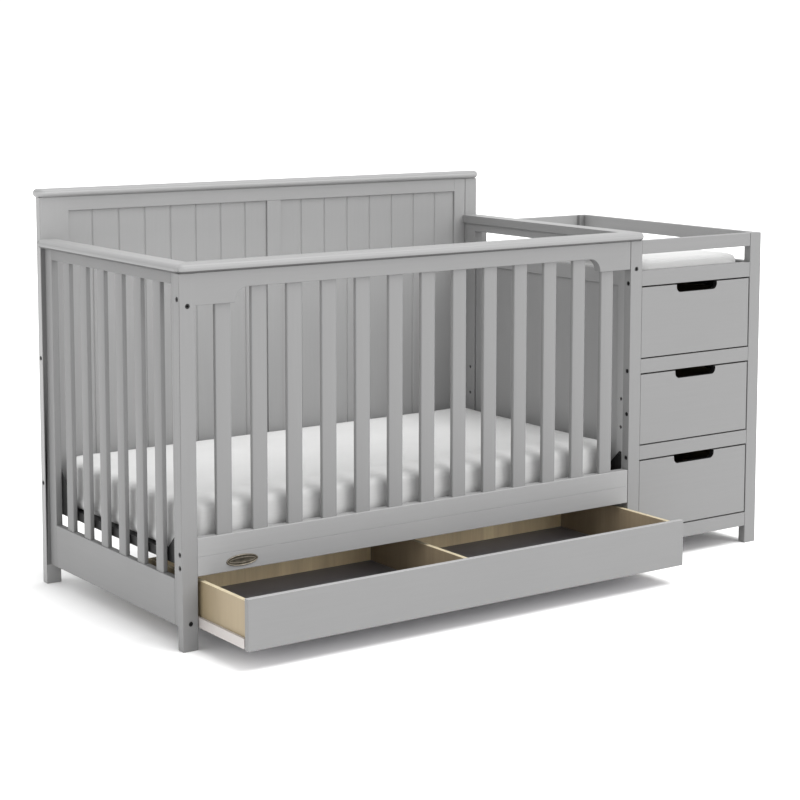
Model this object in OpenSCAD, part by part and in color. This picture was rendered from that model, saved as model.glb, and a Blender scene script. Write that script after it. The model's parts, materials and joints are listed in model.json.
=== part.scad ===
// Full-size crib with a changer built on to its right end and a wide drawer under the mattress.
// +X runs from the crib to the changer, +Y from front to back, +Z up, and the floor is Z = 0.
// The origin is under the middle of the whole piece with its under-crib drawer pulled part way out.

/* [Overall] */
// From the outer face of the crib's left posts to the left face of the changer
crib_w = 1351; // [1250:1:1450]
// Width of the changer
changer_w = 479; // [430:1:540]
// Depth from the front faces of the posts to the back of the headboard
case_depth = 747; // [700:1:800]
// Height of the front posts and of all the changer's posts
post_h = 873; // [855:1:910]
// Clear height under the lowest rails and the drawer fronts
foot_h = 50; // [40:1:65]

/* [Posts and caps] */
// Width of every post, seen from the front
post_w = 40; // [36:1:46]
// Depth of every post
post_t = 24; // [20:1:28]
// Thickness of the cap boards
cap_t = 22; // [16:1:26]
// Width of the cap boards
cap_w = 50; // [46:1:60]
// How far a cap stands out past the posts
cap_overhang = 8; // [4:1:10]
// Radius of a cap's outer corner, seen from above
cap_corner_r = 20; // [14:1:26]

/* [Front panel] */
// Number of slats in the front
front_slat_n = 13; // [11:1:14]
// Width of a front slat
front_slat_w = 41; // [34:1:44]
// Thickness of a front slat
front_slat_t = 12; // [8:1:16]
// Height of the front's top rail between its brackets
front_top_rail_h = 39; // [30:1:50]
// Width of the bracket at each end of the top rail
bracket_w = 106; // [90:1:130]
// How far a bracket reaches below the top rail
bracket_drop = 35; // [25:1:45]
// Radius of the inner corner between the top rail and a bracket
bracket_r = 35; // [10:1:45]
// Height of the rail that carries the slats
front_bottom_rail_h = 44; // [36:1:56]
// Height of the apron board under that rail
apron_h = 45; // [38:1:55]
// Thickness of the apron board
apron_t = 20; // [15:1:22]
// Width of the oval plate on the apron
badge_w = 85; // [60:1:100]
// Height of the oval plate
badge_h = 28; // [20:1:36]
// Thickness of the oval plate
badge_t = 2.4; // [1.6:0.2:3.2]
// From the left posts' outer face to the middle of the oval plate
badge_from_left = 158; // [120:1:250]

/* [End panel] */
// Thickness of the end panel's frame
end_t = 18; // [16:1:22]
// How far the end panel's outer face lies behind the posts' outer faces
end_inset = 12; // [8:1:14]
// Width of the end panel's stiles
end_stile_w = 36; // [30:1:42]
// Number of slats in the end panel
end_slat_n = 6; // [5:1:7]
// Width of an end slat
end_slat_w = 36; // [30:1:40]
// Thickness of an end slat
end_slat_t = 12; // [8:1:14]
// Height of the end panel's top rail
end_top_rail_h = 28; // [22:1:40]
// Height of the deep board at the foot of the end panel
end_bottom_rail_h = 110; // [90:1:125]

/* [Headboard] */
// Height of the headboard's posts
headboard_h = 1001; // [970:1:1060]
// Thickness of the headboard's rails and stiles
headboard_t = 20; // [16:1:22]
// Width of the headboard's outer stiles
headboard_stile_w = 40; // [32:1:50]
// Width of the stile in the middle
centre_stile_w = 44; // [36:1:60]
// Height of the headboard's top rail
headboard_top_rail_h = 36; // [30:1:50]
// Height of the headboard's lower edge above the floor
headboard_bottom_z = 188; // [170:1:210]
// Height of the headboard's bottom rail
headboard_bottom_rail_h = 70; // [50:1:90]
// How far the grooved boards lie behind the frame
board_recess = 5; // [2:1:7]
// Thickness of the grooved boards
board_t = 11; // [8:1:12]
// Number of grooves in each board
groove_n = 7; // [5:1:8]
// Distance between grooves
groove_pitch = 76.2; // [60:0.1:80]
// Width of a V groove at the surface
groove_w = 6; // [3:0.5:8]
// Depth of a V groove
groove_d = 3; // [1.5:0.5:4]

/* [Mattress and its support] */
// Height of the support frame's lower edge above the floor
support_z = 186; // [180:1:205]
// Height of the support frame's steel angle
angle_h = 22; // [18:1:28]
// Width of the angle's flat flange
angle_flange = 25; // [18:1:32]
// Thickness of the steel angle
angle_t = 2; // [1.5:0.5:3]
// Gap between the support frame and the front and back of the crib
support_gap = 3; // [2:0.5:4]
// Diameter of the support wires
wire_d = 3.6; // [3:0.2:5]
// Number of wires that run the length of the crib
long_wire_n = 6; // [4:1:8]
// Number of wires that run across it
cross_wire_n = 12; // [8:1:14]
// Thickness of a steel hanger plate
hanger_t = 2.4; // [2:0.2:3]
// Width of a hanger plate at its foot
hanger_w = 106; // [80:1:120]
// How far a hanger plate reaches past its bolt at its top
hanger_past_bolt = 2.5; // [2:0.5:8]
// Height of a hanger plate
hanger_h = 121; // [120:1:140]
// Height of the hanger's bolt above the support frame's lower edge
hanger_bolt_up = 111; // [100:1:112]
// Distance between the height settings of the mattress
height_step = 76; // [60:1:80]
// Number of spare height settings above the one in use
height_n = 2; // [1:1:4]
// Diameter of the spare settings' holes, which are wide enough for threaded inserts
height_hole_d = 9; // [8:0.5:10]
// From the front of the crib's inside to the front hangers' bolts
hanger_front = 8; // [8:1:14]
// From the back of the crib's inside to the back hangers' bolts
hanger_back = 28; // [22:1:30]
// Thickness of the mattress
mattress_h = 127; // [100:1:150]
// Gap between the mattress and the hangers' bolt heads
mattress_clear = 0.6; // [0.4:0.1:3]
// Gap between the mattress and the front and back of the crib
mattress_side_gap = 4.5; // [2:0.5:10]
// Radius of the mattress's corners, seen from above
mattress_corner_r = 48; // [30:1:80]
// Radius of the mattress's soft edges
mattress_edge_r = 22; // [12:1:30]
// How much the mattress's middle stands above its edges
mattress_crown = 6; // [2:1:12]
// How much the mattress's sides pull in between its corners
mattress_draw = 3; // [0:0.5:6]

/* [Drawers] */
// How far the under-crib drawer stands open at rest
crib_drawer_open = 218; // [100:1:300]
// Height of the under-crib drawer's front
crib_front_h = 119; // [110:1:125]
// Gap between the under-crib drawer's front and the apron
apron_gap = 4; // [3:0.5:6]
// Height of the under-crib drawer's sides
crib_side_h = 105; // [90:1:110]
// How far the under-crib drawer's divider lies below its sides
divider_drop = 8; // [4:1:20]
// Thickness of every drawer front
front_t = 15; // [12:1:18]
// Gap round every drawer front
front_gap = 3; // [2:0.5:4]
// Thickness of the drawer sides, backs and the divider
side_t = 12; // [9:1:14]
// Length of every drawer's sides
box_l = 463; // [455:1:520]
// Height of the drawer sides above the front's lower edge
side_lift = 5; // [3.5:0.5:8]
// Thickness of the drawer bottoms
bottom_t = 6; // [4:0.5:8]
// Height of the drawer bottoms above the sides' lower edge
bottom_lift = 1; // [0:0.5:3]
// Room for a slide on each side of a drawer
slide_space = 10; // [10:0.5:12]
// Length of the drawer slides
slide_l = 450; // [420:1:454]
// Height of a slide's channel
slide_h = 23.5; // [20:0.5:26]
// Width of a slide's channel
channel_w = 8; // [8:0.1:9]
// Thickness of the slides' sheet steel
sheet_t = 1.2; // [1:0.1:1.4]
// Running clearance between the parts of a slide
slide_clear = 0.4; // [0.3:0.05:0.6]
// Thickness of a slide's standing blade
blade_t = 2; // [1.6:0.1:2.4]
// Clear height between the changer drawers' sides and the rails above them
changer_side_gap = 38; // [30:1:80]
// Width of the finger slot in a changer drawer's front
finger_w = 148; // [100:1:180]
// Depth of the finger slot
finger_h = 22; // [16:1:24]
// Radius of the finger slot's lower corners
finger_r = 15; // [8:1:20]

/* [Changer] */
// Clear height between the tray's rail and the changer's top rails
gallery_gap = 45; // [38:1:54]
// Height of the rails between the changer's drawers
drawer_rail_h = 38; // [34:1:40]
// Height of the rail around the changing tray
tray_rail_h = 40; // [32:1:44]
// Height of the changer's top rails
gallery_rail_h = 36; // [28:1:44]
// Thickness of the changer's front and right rails
rail_t = 20; // [18:1:23]
// Thickness of the changer's back rails
back_rail_t = 14; // [12:1:20]
// Height of the rail under the cap on the changer's left
left_rail_h = 23; // [18:1:30]
// Thickness of the changer's side frames
side_frame_t = 28; // [26:1:30]
// Thickness of the panels in the side frames
side_panel_t = 12; // [9:1:16]
// How far those panels lie behind their frames' outer faces
panel_recess = 7; // [2:1:8]
// Width of the side frames' front stiles
side_front_stile_w = 26; // [24:1:40]
// Width of the side frames' back stiles
side_back_stile_w = 48; // [48:1:70]
// Thickness of the changer's back panel
back_panel_t = 4; // [3:0.5:6]
// Thickness of the tray's board
tray_t = 12; // [8:1:16]
// Depth of the tray below the rail around it
tray_drop = 14; // [10:1:20]
// Height of the wooden cleats that carry the changer's slides
cleat_h = 30; // [28:1:34]
// Thickness of the changing pad at its edges
pad_h = 35; // [26:1:42]
// Gap between the pad and the side frames
pad_side_gap = 19; // [6:1:30]
// Gap between the pad and the rails in front and behind
pad_end_gap = 4; // [2:1:12]
// Radius of the pad's corners, seen from above
pad_corner_r = 34; // [20:1:50]
// Radius of the pad's soft edges
pad_edge_r = 9; // [5:0.5:10]
// How much the pad's middle stands above its edges
pad_crown = 3; // [1:0.5:6]
// How much the pad's sides pull in between its corners
pad_draw = 2; // [0:0.5:5]

/* [Bolts] */
// Diameter of the bolts' shanks
bolt_d = 6; // [5:0.5:7]
// Diameter of the bolts' heads
bolt_head_d = 11.6; // [10:0.2:13]
// Height of the bolts' heads
bolt_head_h = 4; // [3:0.5:6]
// How far a bolt's head lies under the surface
bolt_sink = 0.8; // [0.2:0.1:2]
// How far a bolt reaches past the post that it goes through
bolt_reach = 30; // [20:1:34]
// Width of the hexagon socket, across its corners
socket_w = 5.6; // [4:0.2:7]
// Clearance between a bolt and its hole, on the diameter
bolt_clear = 0.5; // [0.3:0.1:0.8]
// Height of the hangers' flat bolt heads
hanger_head_h = 2.5; // [2:0.1:3]
// From the posts' top down to the upper bolts of the end and side frames
upper_bolt_drop = 74; // [66:1:90]
// From the lowest rail's lower edge up to the bolts there
lower_bolt_up = 14.5; // [10:0.5:25]
// From a rail's lower edge up to the bolt in its end
rail_bolt_up = 9; // [8:1:14]
// From a bracket's lower edge up to the bolt in its end
bracket_bolt_up = 16; // [10:1:24]
// From the headboard's lower edge up to the lowest bolt in its posts
headboard_bolt_up = 76; // [40:1:100]
// From the top of the headboard's posts down to the middle bolt
headboard_mid_bolt_drop = 412; // [350:1:480]
// From the top of the headboard's posts down to the upper bolt
headboard_top_bolt_drop = 116; // [60:1:200]

/* [Hidden] */
$fn = 48;
PAINT = [0.66, 0.66, 0.66];
LINEN = [0.93, 0.93, 0.93];
BARE_WOOD = [0.80, 0.72, 0.56];
DARK_BOARD = [0.38, 0.37, 0.38];
WHITE_STEEL = [0.86, 0.85, 0.84];
BLACK_STEEL = [0.13, 0.13, 0.13];
BRONZE = [0.30, 0.27, 0.22];

// Outer faces of the whole piece
left_x = -(crib_w + changer_w + cap_overhang) / 2 + cap_overhang;
join_x = left_x + crib_w;
right_x = join_x + changer_w;
front_y = -(crib_drawer_open + case_depth) / 2 + crib_drawer_open;
back_y = front_y + case_depth;

// Inside of the crib
inner_x0 = left_x + end_inset + end_t;
inner_x1 = join_x;
inner_y0 = front_y + post_t;
inner_y1 = back_y - post_t;

// Heights in the front panel, from the under-crib drawer upwards
apron_z = foot_h + crib_front_h + apron_gap;
bottom_rail_z = apron_z + apron_h;
slat_z = bottom_rail_z + front_bottom_rail_h;
top_rail_z = post_h - front_top_rail_h;
bracket_z = top_rail_z - bracket_drop;

// Heights in the changer, from its lowest drawer rail upwards. Its drawers share the height that is
// left between the rails.
drawer_n = 3;
opening_h = (post_h - gallery_rail_h - gallery_gap - tray_rail_h - foot_h) / drawer_n - drawer_rail_h;
changer_side_h = opening_h - front_gap - side_lift - changer_side_gap;
function rail_z(k) = foot_h + k * (drawer_rail_h + opening_h);
function opening_z(k) = rail_z(k) + drawer_rail_h;
tray_rail_z = rail_z(drawer_n);
tray_rail_top = tray_rail_z + tray_rail_h;
tray_top = tray_rail_top - tray_drop;

// Clear opening of the changer's front, between its posts
bay_x0 = join_x + post_w;
bay_x1 = right_x - post_w;
case_x0 = join_x + side_frame_t;
case_x1 = right_x - side_frame_t;
rear_left_x1 = bay_x0 + post_w;

support_top = support_z + angle_h;
hanger_bolt_z = support_z + hanger_bolt_up;
hanger_pad_x = hanger_t + hanger_head_h + mattress_clear;
// Gap under each cushion, and how far a cut runs past the face that it opens
soft_gap = 0.3;
over = 1;
socket_depth = 2.4;
// Wood left past the end of a bolt in a side frame's stile and in an end stile
stile_end_wood = 5;
hanger_end_wood = 4;

// ---------- shared shapes ----------

// A board that fills the given ranges of X, Y and Z
module board(xs, ys, zs) {
    translate([xs[0], ys[0], zs[0]])
        cube([xs[1] - xs[0], ys[1] - ys[0], zs[1] - zs[0]]);
}

// A quarter of a round table edge with a bullnose rim, its flat sides along +X and +Y
module nosed_quarter(r) {
    rotate_extrude(angle = 90) {
        square([r - cap_t / 2, cap_t]);
        translate([r - cap_t / 2, cap_t / 2])
            intersection() {
                circle(d = cap_t);
                translate([0, -cap_t / 2])
                    square(cap_t);
            }
    }
}

// A straight bullnose edge of the given length along +X, facing -Y, its nose at Y = 0
module nosed_edge(length) {
    translate([0, cap_t / 2, cap_t / 2])
        rotate([0, 90, 0])
            cylinder(d = cap_t, h = length);
    translate([0, cap_t / 2, 0])
        cube([length, cap_corner_r - cap_t / 2, cap_t]);
}

// ---------- bolts ----------

TO_RIGHT = [0, 90, 0];
TO_LEFT = [0, -90, 0];
TO_BACK = [-90, 0, 0];
TO_FRONT = [90, 0, 0];

end_mid_x = left_x + end_inset + end_t / 2;
post_mid_y = front_y + post_t / 2;
frame_bolt_zs = [foot_h + lower_bolt_up, post_h - upper_bolt_drop];
side_bolt_l = post_w + bolt_reach;
face_bolt_l = post_t + bolt_reach;

// Each bolt is a place on the surface, a direction and a length under the surface
front_bolts = concat(
    [for (z = [apron_z + apron_h / 2, bottom_rail_z + rail_bolt_up, bracket_z + bracket_bolt_up])
        [[left_x, post_mid_y, z], TO_RIGHT, side_bolt_l]],
    [for (z = frame_bolt_zs) [[end_mid_x, front_y, z], TO_BACK, face_bolt_l]]
);
headboard_bolt_zs = [headboard_bottom_z + headboard_bolt_up, headboard_h - headboard_mid_bolt_drop,
    headboard_h - headboard_top_bolt_drop];
headboard_bolts = concat(
    [for (z = headboard_bolt_zs) [[left_x, back_y - post_t / 2, z], TO_RIGHT, side_bolt_l]],
    [for (z = frame_bolt_zs) [[end_mid_x, back_y, z], TO_FRONT, face_bolt_l]]
);
rail_mid_y = front_y + rail_t / 2;
changer_bolts = concat(
    [for (k = [1:drawer_n]) [[join_x, rail_mid_y, rail_z(k) + rail_bolt_up], TO_RIGHT, side_bolt_l]],
    [[[join_x, rail_mid_y, rail_z(2) - opening_h / 2 - rail_bolt_up], TO_RIGHT, bolt_reach]],
    [[[join_x + post_w / 2, front_y, post_h - upper_bolt_drop], TO_BACK,
        post_t + side_front_stile_w - stile_end_wood]]
);
hanger_ys = [inner_y0 + hanger_front, inner_y1 - hanger_back];
hanger_bolt_l = hanger_t + end_t - hanger_end_wood;
hanger_bolts = [for (y = hanger_ys, end = [0, 1])
    [[end == 0 ? inner_x0 : inner_x1, y, hanger_bolt_z], end == 0 ? TO_LEFT : TO_RIGHT, hanger_bolt_l]];

module bolt(length) {
    difference() {
        union() {
            translate([0, 0, bolt_sink])
                cylinder(d = bolt_head_d, h = bolt_head_h);
            translate([0, 0, bolt_sink + bolt_head_h])
                cylinder(d = bolt_d, h = length - bolt_sink - bolt_head_h);
        }
        translate([0, 0, bolt_sink - over])
            cylinder(d = socket_w, h = socket_depth + over, $fn = 6);
    }
}

module bolt_hole(length) {
    translate([0, 0, -over])
        cylinder(d = bolt_head_d + bolt_clear, h = over + bolt_sink + bolt_head_h);
    cylinder(d = bolt_d + bolt_clear, h = length + over);
}

module bolt_holes(bolts) {
    for (b = bolts)
        translate(b[0])
            rotate(b[1])
                bolt_hole(b[2]);
}

// A flat-headed bolt that holds a hanger: its head stands on the plate, inside the crib
module hanger_bolt(length) {
    translate([0, 0, -hanger_t - hanger_head_h])
        difference() {
            cylinder(d = bolt_head_d, h = hanger_head_h);
            translate([0, 0, -over])
                cylinder(d = socket_w, h = hanger_head_h / 2 + over, $fn = 6);
        }
    translate([0, 0, -hanger_t])
        cylinder(d = bolt_d, h = length);
}

// The row of height settings at each hanger: plain holes from the inside of the crib
module height_holes(xs) {
    for (x = xs, y = hanger_ys, k = [0:height_n])
        translate([x, y, hanger_bolt_z + k * height_step])
            rotate(x == inner_x0 ? TO_LEFT : TO_RIGHT)
                translate([0, 0, -over])
                    cylinder(d = k == 0 ? bolt_d + bolt_clear : height_hole_d,
                        h = hanger_bolt_l + over);
}

module frame_bolts() {
    color(BLACK_STEEL) {
        for (b = concat(front_bolts, headboard_bolts, changer_bolts))
            translate(b[0])
                rotate(b[1])
                    bolt(b[2]);
        for (b = hanger_bolts)
            translate(b[0])
                rotate(b[1])
                    hanger_bolt(b[2]);
    }
}

// ---------- front panel ----------

module front_left_post() {
    color(PAINT)
        difference() {
            board([left_x, left_x + post_w], [front_y, front_y + post_t], [0, post_h]);
            bolt_holes(front_bolts);
        }
}

// Outline of the top rail, drawn in X and Z: a board with a round-cornered recess below
module top_rail_outline() {
    rail_x0 = left_x + post_w;
    recess_r = min(bracket_r, bracket_drop);
    recess_x0 = rail_x0 + bracket_w;
    recess_x1 = join_x - bracket_w;
    difference() {
        translate([rail_x0, bracket_z])
            square([join_x - rail_x0, post_h - bracket_z]);
        translate([recess_x0, bracket_z - over])
            square([recess_x1 - recess_x0, bracket_drop - recess_r + over]);
        translate([recess_x0 + recess_r, bracket_z - over])
            square([recess_x1 - recess_x0 - 2 * recess_r, bracket_drop + over]);
        for (x = [recess_x0 + recess_r, recess_x1 - recess_r])
            translate([x, top_rail_z - recess_r])
                circle(r = recess_r);
    }
}

module top_rail_solid() {
    translate([0, front_y + post_t, 0])
        rotate([90, 0, 0])
            linear_extrude(post_t)
                top_rail_outline();
}

module front_top_rail() {
    color(PAINT)
        difference() {
            top_rail_solid();
            bolt_holes(front_bolts);
        }
}

module front_bottom_rail() {
    color(PAINT)
        difference() {
            board([left_x + post_w, join_x], [front_y, front_y + post_t], [bottom_rail_z, slat_z]);
            bolt_holes(front_bolts);
        }
}

module front_apron() {
    color(PAINT)
        difference() {
            board([left_x + post_w, join_x], [front_y, front_y + apron_t], [apron_z, bottom_rail_z]);
            bolt_holes(front_bolts);
        }
}

module front_slats() {
    clear_w = join_x - left_x - post_w;
    gap = (clear_w - front_slat_n * front_slat_w) / (front_slat_n + 1);
    slat_y = front_y + (post_t - front_slat_t) / 2;
    color(PAINT)
        difference() {
            for (k = [0:front_slat_n - 1])
                translate([left_x + post_w + gap + k * (front_slat_w + gap), slat_y, slat_z])
                    cube([front_slat_w, front_slat_t, top_rail_z + over - slat_z]);
            top_rail_solid();
        }
}

// The front cap runs over both front posts and is mitred to the end cap at its left end
module front_cap() {
    x0 = left_x - cap_overhang;
    x1 = bay_x0 + cap_overhang;
    y0 = front_y - cap_overhang;
    y1 = y0 + cap_w;
    color(PAINT)
        difference() {
            translate([0, 0, post_h]) {
                translate([x0 + cap_corner_r, y0, 0])
                    nosed_edge(x1 - x0 - 2 * cap_corner_r);
                board([x0 + cap_corner_r, x1 - cap_corner_r], [y0 + cap_corner_r, y1], [0, cap_t]);
                translate([x0 + cap_corner_r, y0 + cap_corner_r, 0])
                    rotate(180)
                        nosed_quarter(cap_corner_r);
                translate([x1 - cap_corner_r, y0 + cap_corner_r, 0])
                    rotate(270)
                        nosed_quarter(cap_corner_r);
                translate([x1, y0 + cap_corner_r, 0])
                    rotate(90)
                        nosed_edge(cap_w - cap_corner_r);
                translate([x0, y1, 0])
                    rotate(270)
                        nosed_edge(cap_w - cap_corner_r);
                board([x0 + cap_corner_r - over, x0 + cap_corner_r], [y0 + cap_corner_r, y1],
                    [0, cap_t]);
            }
            mitre_cut(1);
        }
}

// The half of the front left corner that belongs to the other cap, cut along the mitre
module mitre_cut(side) {
    reach = 2 * cap_w;
    corner = [left_x - cap_overhang, front_y - cap_overhang];
    translate([corner[0], corner[1], post_h - over])
        linear_extrude(cap_t + 2 * over)
            polygon(side > 0
                ? [[-reach, -reach], [reach, reach], [-reach, reach]]
                : [[-reach, -reach], [reach, reach], [reach, -reach]]);
}

// A plain oval plate with a raised rim
module oval_badge() {
    function oval(w, h) = [for (a = [0:10:350]) [w / 2 * cos(a), h / 2 * sin(a)]];
    rim = 2.5;
    rim_depth = badge_t / 3;
    color(BRONZE)
        translate([left_x + badge_from_left, front_y, apron_z + apron_h / 2])
            rotate([90, 0, 0])
                difference() {
                    linear_extrude(badge_t)
                        polygon(oval(badge_w, badge_h));
                    translate([0, 0, badge_t - rim_depth])
                        linear_extrude(rim_depth + over)
                            polygon(oval(badge_w - 2 * rim, badge_h - 2 * rim));
                }
}

// ---------- end panel ----------

end_xs = [left_x + end_inset, inner_x0];

module end_stiles() {
    color(PAINT)
        difference() {
            union() {
                board(end_xs, [inner_y0, inner_y0 + end_stile_w], [foot_h, post_h]);
                board(end_xs, [inner_y1 - end_stile_w, inner_y1], [foot_h, post_h]);
            }
            bolt_holes(front_bolts);
            bolt_holes(headboard_bolts);
            height_holes([inner_x0]);
        }
}

module end_top_rail() {
    color(PAINT)
        board(end_xs, [inner_y0 + end_stile_w, inner_y1 - end_stile_w],
            [post_h - end_top_rail_h, post_h]);
}

module end_bottom_rail() {
    color(PAINT)
        board(end_xs, [inner_y0 + end_stile_w, inner_y1 - end_stile_w],
            [foot_h, foot_h + end_bottom_rail_h]);
}

module end_slats() {
    clear_w = inner_y1 - inner_y0 - 2 * end_stile_w;
    gap = (clear_w - end_slat_n * end_slat_w) / (end_slat_n + 1);
    z0 = foot_h + end_bottom_rail_h;
    color(PAINT)
        for (k = [0:end_slat_n - 1])
            translate([end_mid_x - end_slat_t / 2,
                    inner_y0 + end_stile_w + gap + k * (end_slat_w + gap), z0])
                cube([end_slat_t, end_slat_w, post_h - end_top_rail_h - z0]);
}

module end_cap() {
    x0 = left_x - cap_overhang;
    y0 = front_y - cap_overhang;
    color(PAINT)
        difference() {
            translate([0, 0, post_h]) {
                translate([x0, inner_y1, 0])
                    rotate(270)
                        nosed_edge(inner_y1 - y0 - cap_corner_r);
                board([x0 + cap_corner_r, x0 + cap_w], [y0, inner_y1], [0, cap_t]);
                translate([x0 + cap_corner_r, y0 + cap_corner_r, 0])
                    rotate(180)
                        nosed_quarter(cap_corner_r);
                board([x0 + cap_corner_r - over, x0 + cap_corner_r], [y0 + cap_corner_r, inner_y1],
                    [0, cap_t]);
            }
            mitre_cut(-1);
        }
}

// ---------- headboard ----------

headboard_x1 = join_x + post_w;
stile_x0 = left_x + post_w;
panel_x0 = stile_x0 + headboard_stile_w;
panel_x1 = join_x - headboard_stile_w;
headboard_mid_x = (panel_x0 + panel_x1) / 2;
headboard_ys = [inner_y1, inner_y1 + headboard_t];
panel_z0 = headboard_bottom_z + headboard_bottom_rail_h;
panel_z1 = headboard_h - headboard_top_rail_h;

module headboard_left_post() {
    color(PAINT)
        difference() {
            board([left_x, stile_x0], [inner_y1, back_y], [0, headboard_h]);
            bolt_holes(headboard_bolts);
        }
}

module headboard_right_post() {
    color(PAINT)
        board([join_x, headboard_x1], [inner_y1, back_y], [0, headboard_h]);
}

module headboard_outer_stiles() {
    color(PAINT)
        difference() {
            union() {
                board([stile_x0, panel_x0], headboard_ys, [headboard_bottom_z, headboard_h]);
                board([panel_x1, join_x], headboard_ys, [headboard_bottom_z, headboard_h]);
            }
            bolt_holes(headboard_bolts);
        }
}

module headboard_centre_stile() {
    color(PAINT)
        board([headboard_mid_x - centre_stile_w / 2, headboard_mid_x + centre_stile_w / 2],
            headboard_ys, [panel_z0, panel_z1]);
}

module headboard_top_rail() {
    color(PAINT)
        board([panel_x0, panel_x1], headboard_ys, [panel_z1, headboard_h]);
}

module headboard_bottom_rail() {
    color(PAINT)
        board([panel_x0, panel_x1], headboard_ys, [headboard_bottom_z, panel_z0]);
}

// One grooved board between two stiles
module grooved_board(x0, x1) {
    y0 = inner_y1 + board_recess;
    mid_x = (x0 + x1) / 2;
    difference() {
        board([x0, x1], [y0, y0 + board_t], [panel_z0, panel_z1]);
        for (k = [0:groove_n - 1])
            translate([mid_x + (k - (groove_n - 1) / 2) * groove_pitch, y0, panel_z0 - over])
                linear_extrude(panel_z1 - panel_z0 + 2 * over)
                    polygon([[-groove_w / 2, 0], [-groove_w / 2, -over], [groove_w / 2, -over],
                        [groove_w / 2, 0], [0, groove_d]]);
    }
}

module headboard_boards() {
    color(PAINT) {
        grooved_board(panel_x0, headboard_mid_x - centre_stile_w / 2);
        grooved_board(headboard_mid_x + centre_stile_w / 2, panel_x1);
    }
}

// The headboard's cap is flush with the posts at the back and stands out in front and at its ends
module headboard_cap() {
    x0 = left_x - cap_overhang;
    x1 = headboard_x1 + cap_overhang;
    y0 = inner_y1 - cap_overhang;
    color(PAINT)
        translate([0, 0, headboard_h]) {
            translate([x0 + cap_corner_r, y0, 0])
                nosed_edge(x1 - x0 - 2 * cap_corner_r);
            board([x0 + cap_corner_r - over, x1 - cap_corner_r + over], [y0 + cap_corner_r, back_y],
                [0, cap_t]);
            translate([x0 + cap_corner_r, y0 + cap_corner_r, 0])
                rotate(180)
                    nosed_quarter(cap_corner_r);
            translate([x1 - cap_corner_r, y0 + cap_corner_r, 0])
                rotate(270)
                    nosed_quarter(cap_corner_r);
            translate([x0, back_y, 0])
                rotate(270)
                    nosed_edge(back_y - y0 - cap_corner_r);
            translate([x1, y0 + cap_corner_r, 0])
                rotate(90)
                    nosed_edge(back_y - y0 - cap_corner_r);
        }
}

// ---------- mattress and its support ----------

support_xs = [inner_x0 + hanger_t, inner_x1 - hanger_t];
support_ys = [inner_y0 + support_gap, inner_y1 - support_gap];

function shrunk(range, by) = [range[0] + by, range[1] - by];

module support_frame() {
    color(BLACK_STEEL)
        difference() {
            board(support_xs, support_ys, [support_z, support_top]);
            board(shrunk(support_xs, angle_t), shrunk(support_ys, angle_t),
                [support_z - over, support_top - angle_t]);
            board(shrunk(support_xs, angle_flange), shrunk(support_ys, angle_flange),
                [support_z, support_top + over]);
        }
}

module support_wires() {
    xs = shrunk(support_xs, angle_t);
    ys = shrunk(support_ys, angle_t);
    z = support_top - angle_t - wire_d / 2;
    color(BLACK_STEEL) {
        for (k = [1:long_wire_n])
            translate([xs[0], ys[0] + (ys[1] - ys[0]) * k / (long_wire_n + 1), z])
                rotate([0, 90, 0])
                    cylinder(d = wire_d, h = xs[1] - xs[0], $fn = 8);
        for (k = [1:cross_wire_n])
            translate([xs[0] + (xs[1] - xs[0]) * k / (cross_wire_n + 1), ys[0], z])
                rotate([-90, 0, 0])
                    cylinder(d = wire_d, h = ys[1] - ys[0], $fn = 8);
    }
}

// A hanger plate, wide along the support frame, with an edge that slopes up to its bolt.
// It starts at y, near the crib's front or back.
module hanger_plate(y, bolt_y) {
    way = sign(bolt_y - y);
    rotate([90, 0, 90])
        linear_extrude(hanger_t)
            polygon([[y, support_z], [y + way * hanger_w, support_z], [y + way * hanger_w, support_top],
                [bolt_y + way * hanger_past_bolt, support_z + hanger_h], [y, support_z + hanger_h]]);
}

module support_hangers() {
    color(BLACK_STEEL)
        difference() {
            for (x = [inner_x0, inner_x1 - hanger_t], k = [0, 1])
                translate([x, 0, 0])
                    hanger_plate(support_ys[k], hanger_ys[k]);
            for (y = hanger_ys)
                translate([inner_x0 - over, y, hanger_bolt_z])
                    rotate(TO_RIGHT)
                        cylinder(d = bolt_d + bolt_clear, h = inner_x1 - inner_x0 + 2 * over);
        }
}

// A soft cushion: rings of points from the middle of its flat bottom to the middle of its crown.
// Each ring is a rectangle with round corners whose sides pull in between the corners.
corner_steps = 5;
long_steps = 8;
short_steps = 5;

function corner_arc(cx, cy, r, quarter) = [for (k = [0:corner_steps])
    let (a = 90 * (quarter + k / corner_steps)) [cx + r * cos(a), cy + r * sin(a)]];

function between(a, b, steps) = [for (k = [1:steps - 1]) a + (b - a) * k / steps];

function outline(hx, hy, r) = let (
        ne = corner_arc(hx - r, hy - r, r, 0),
        nw = corner_arc(r - hx, hy - r, r, 1),
        sw = corner_arc(r - hx, r - hy, r, 2),
        se = corner_arc(hx - r, r - hy, r, 3))
    concat(ne, between(ne[corner_steps], nw[0], long_steps),
        nw, between(nw[corner_steps], sw[0], short_steps),
        sw, between(sw[corner_steps], se[0], long_steps),
        se, between(se[corner_steps], ne[0], short_steps));

function drawn_in(p, hx, hy, draw) = [
    p[0] - sign(p[0]) * draw * (1 - pow(p[1] / hy, 2)) * abs(p[0]) / hx,
    p[1] - sign(p[1]) * draw * (1 - pow(p[0] / hx, 2)) * abs(p[1]) / hy];

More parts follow.
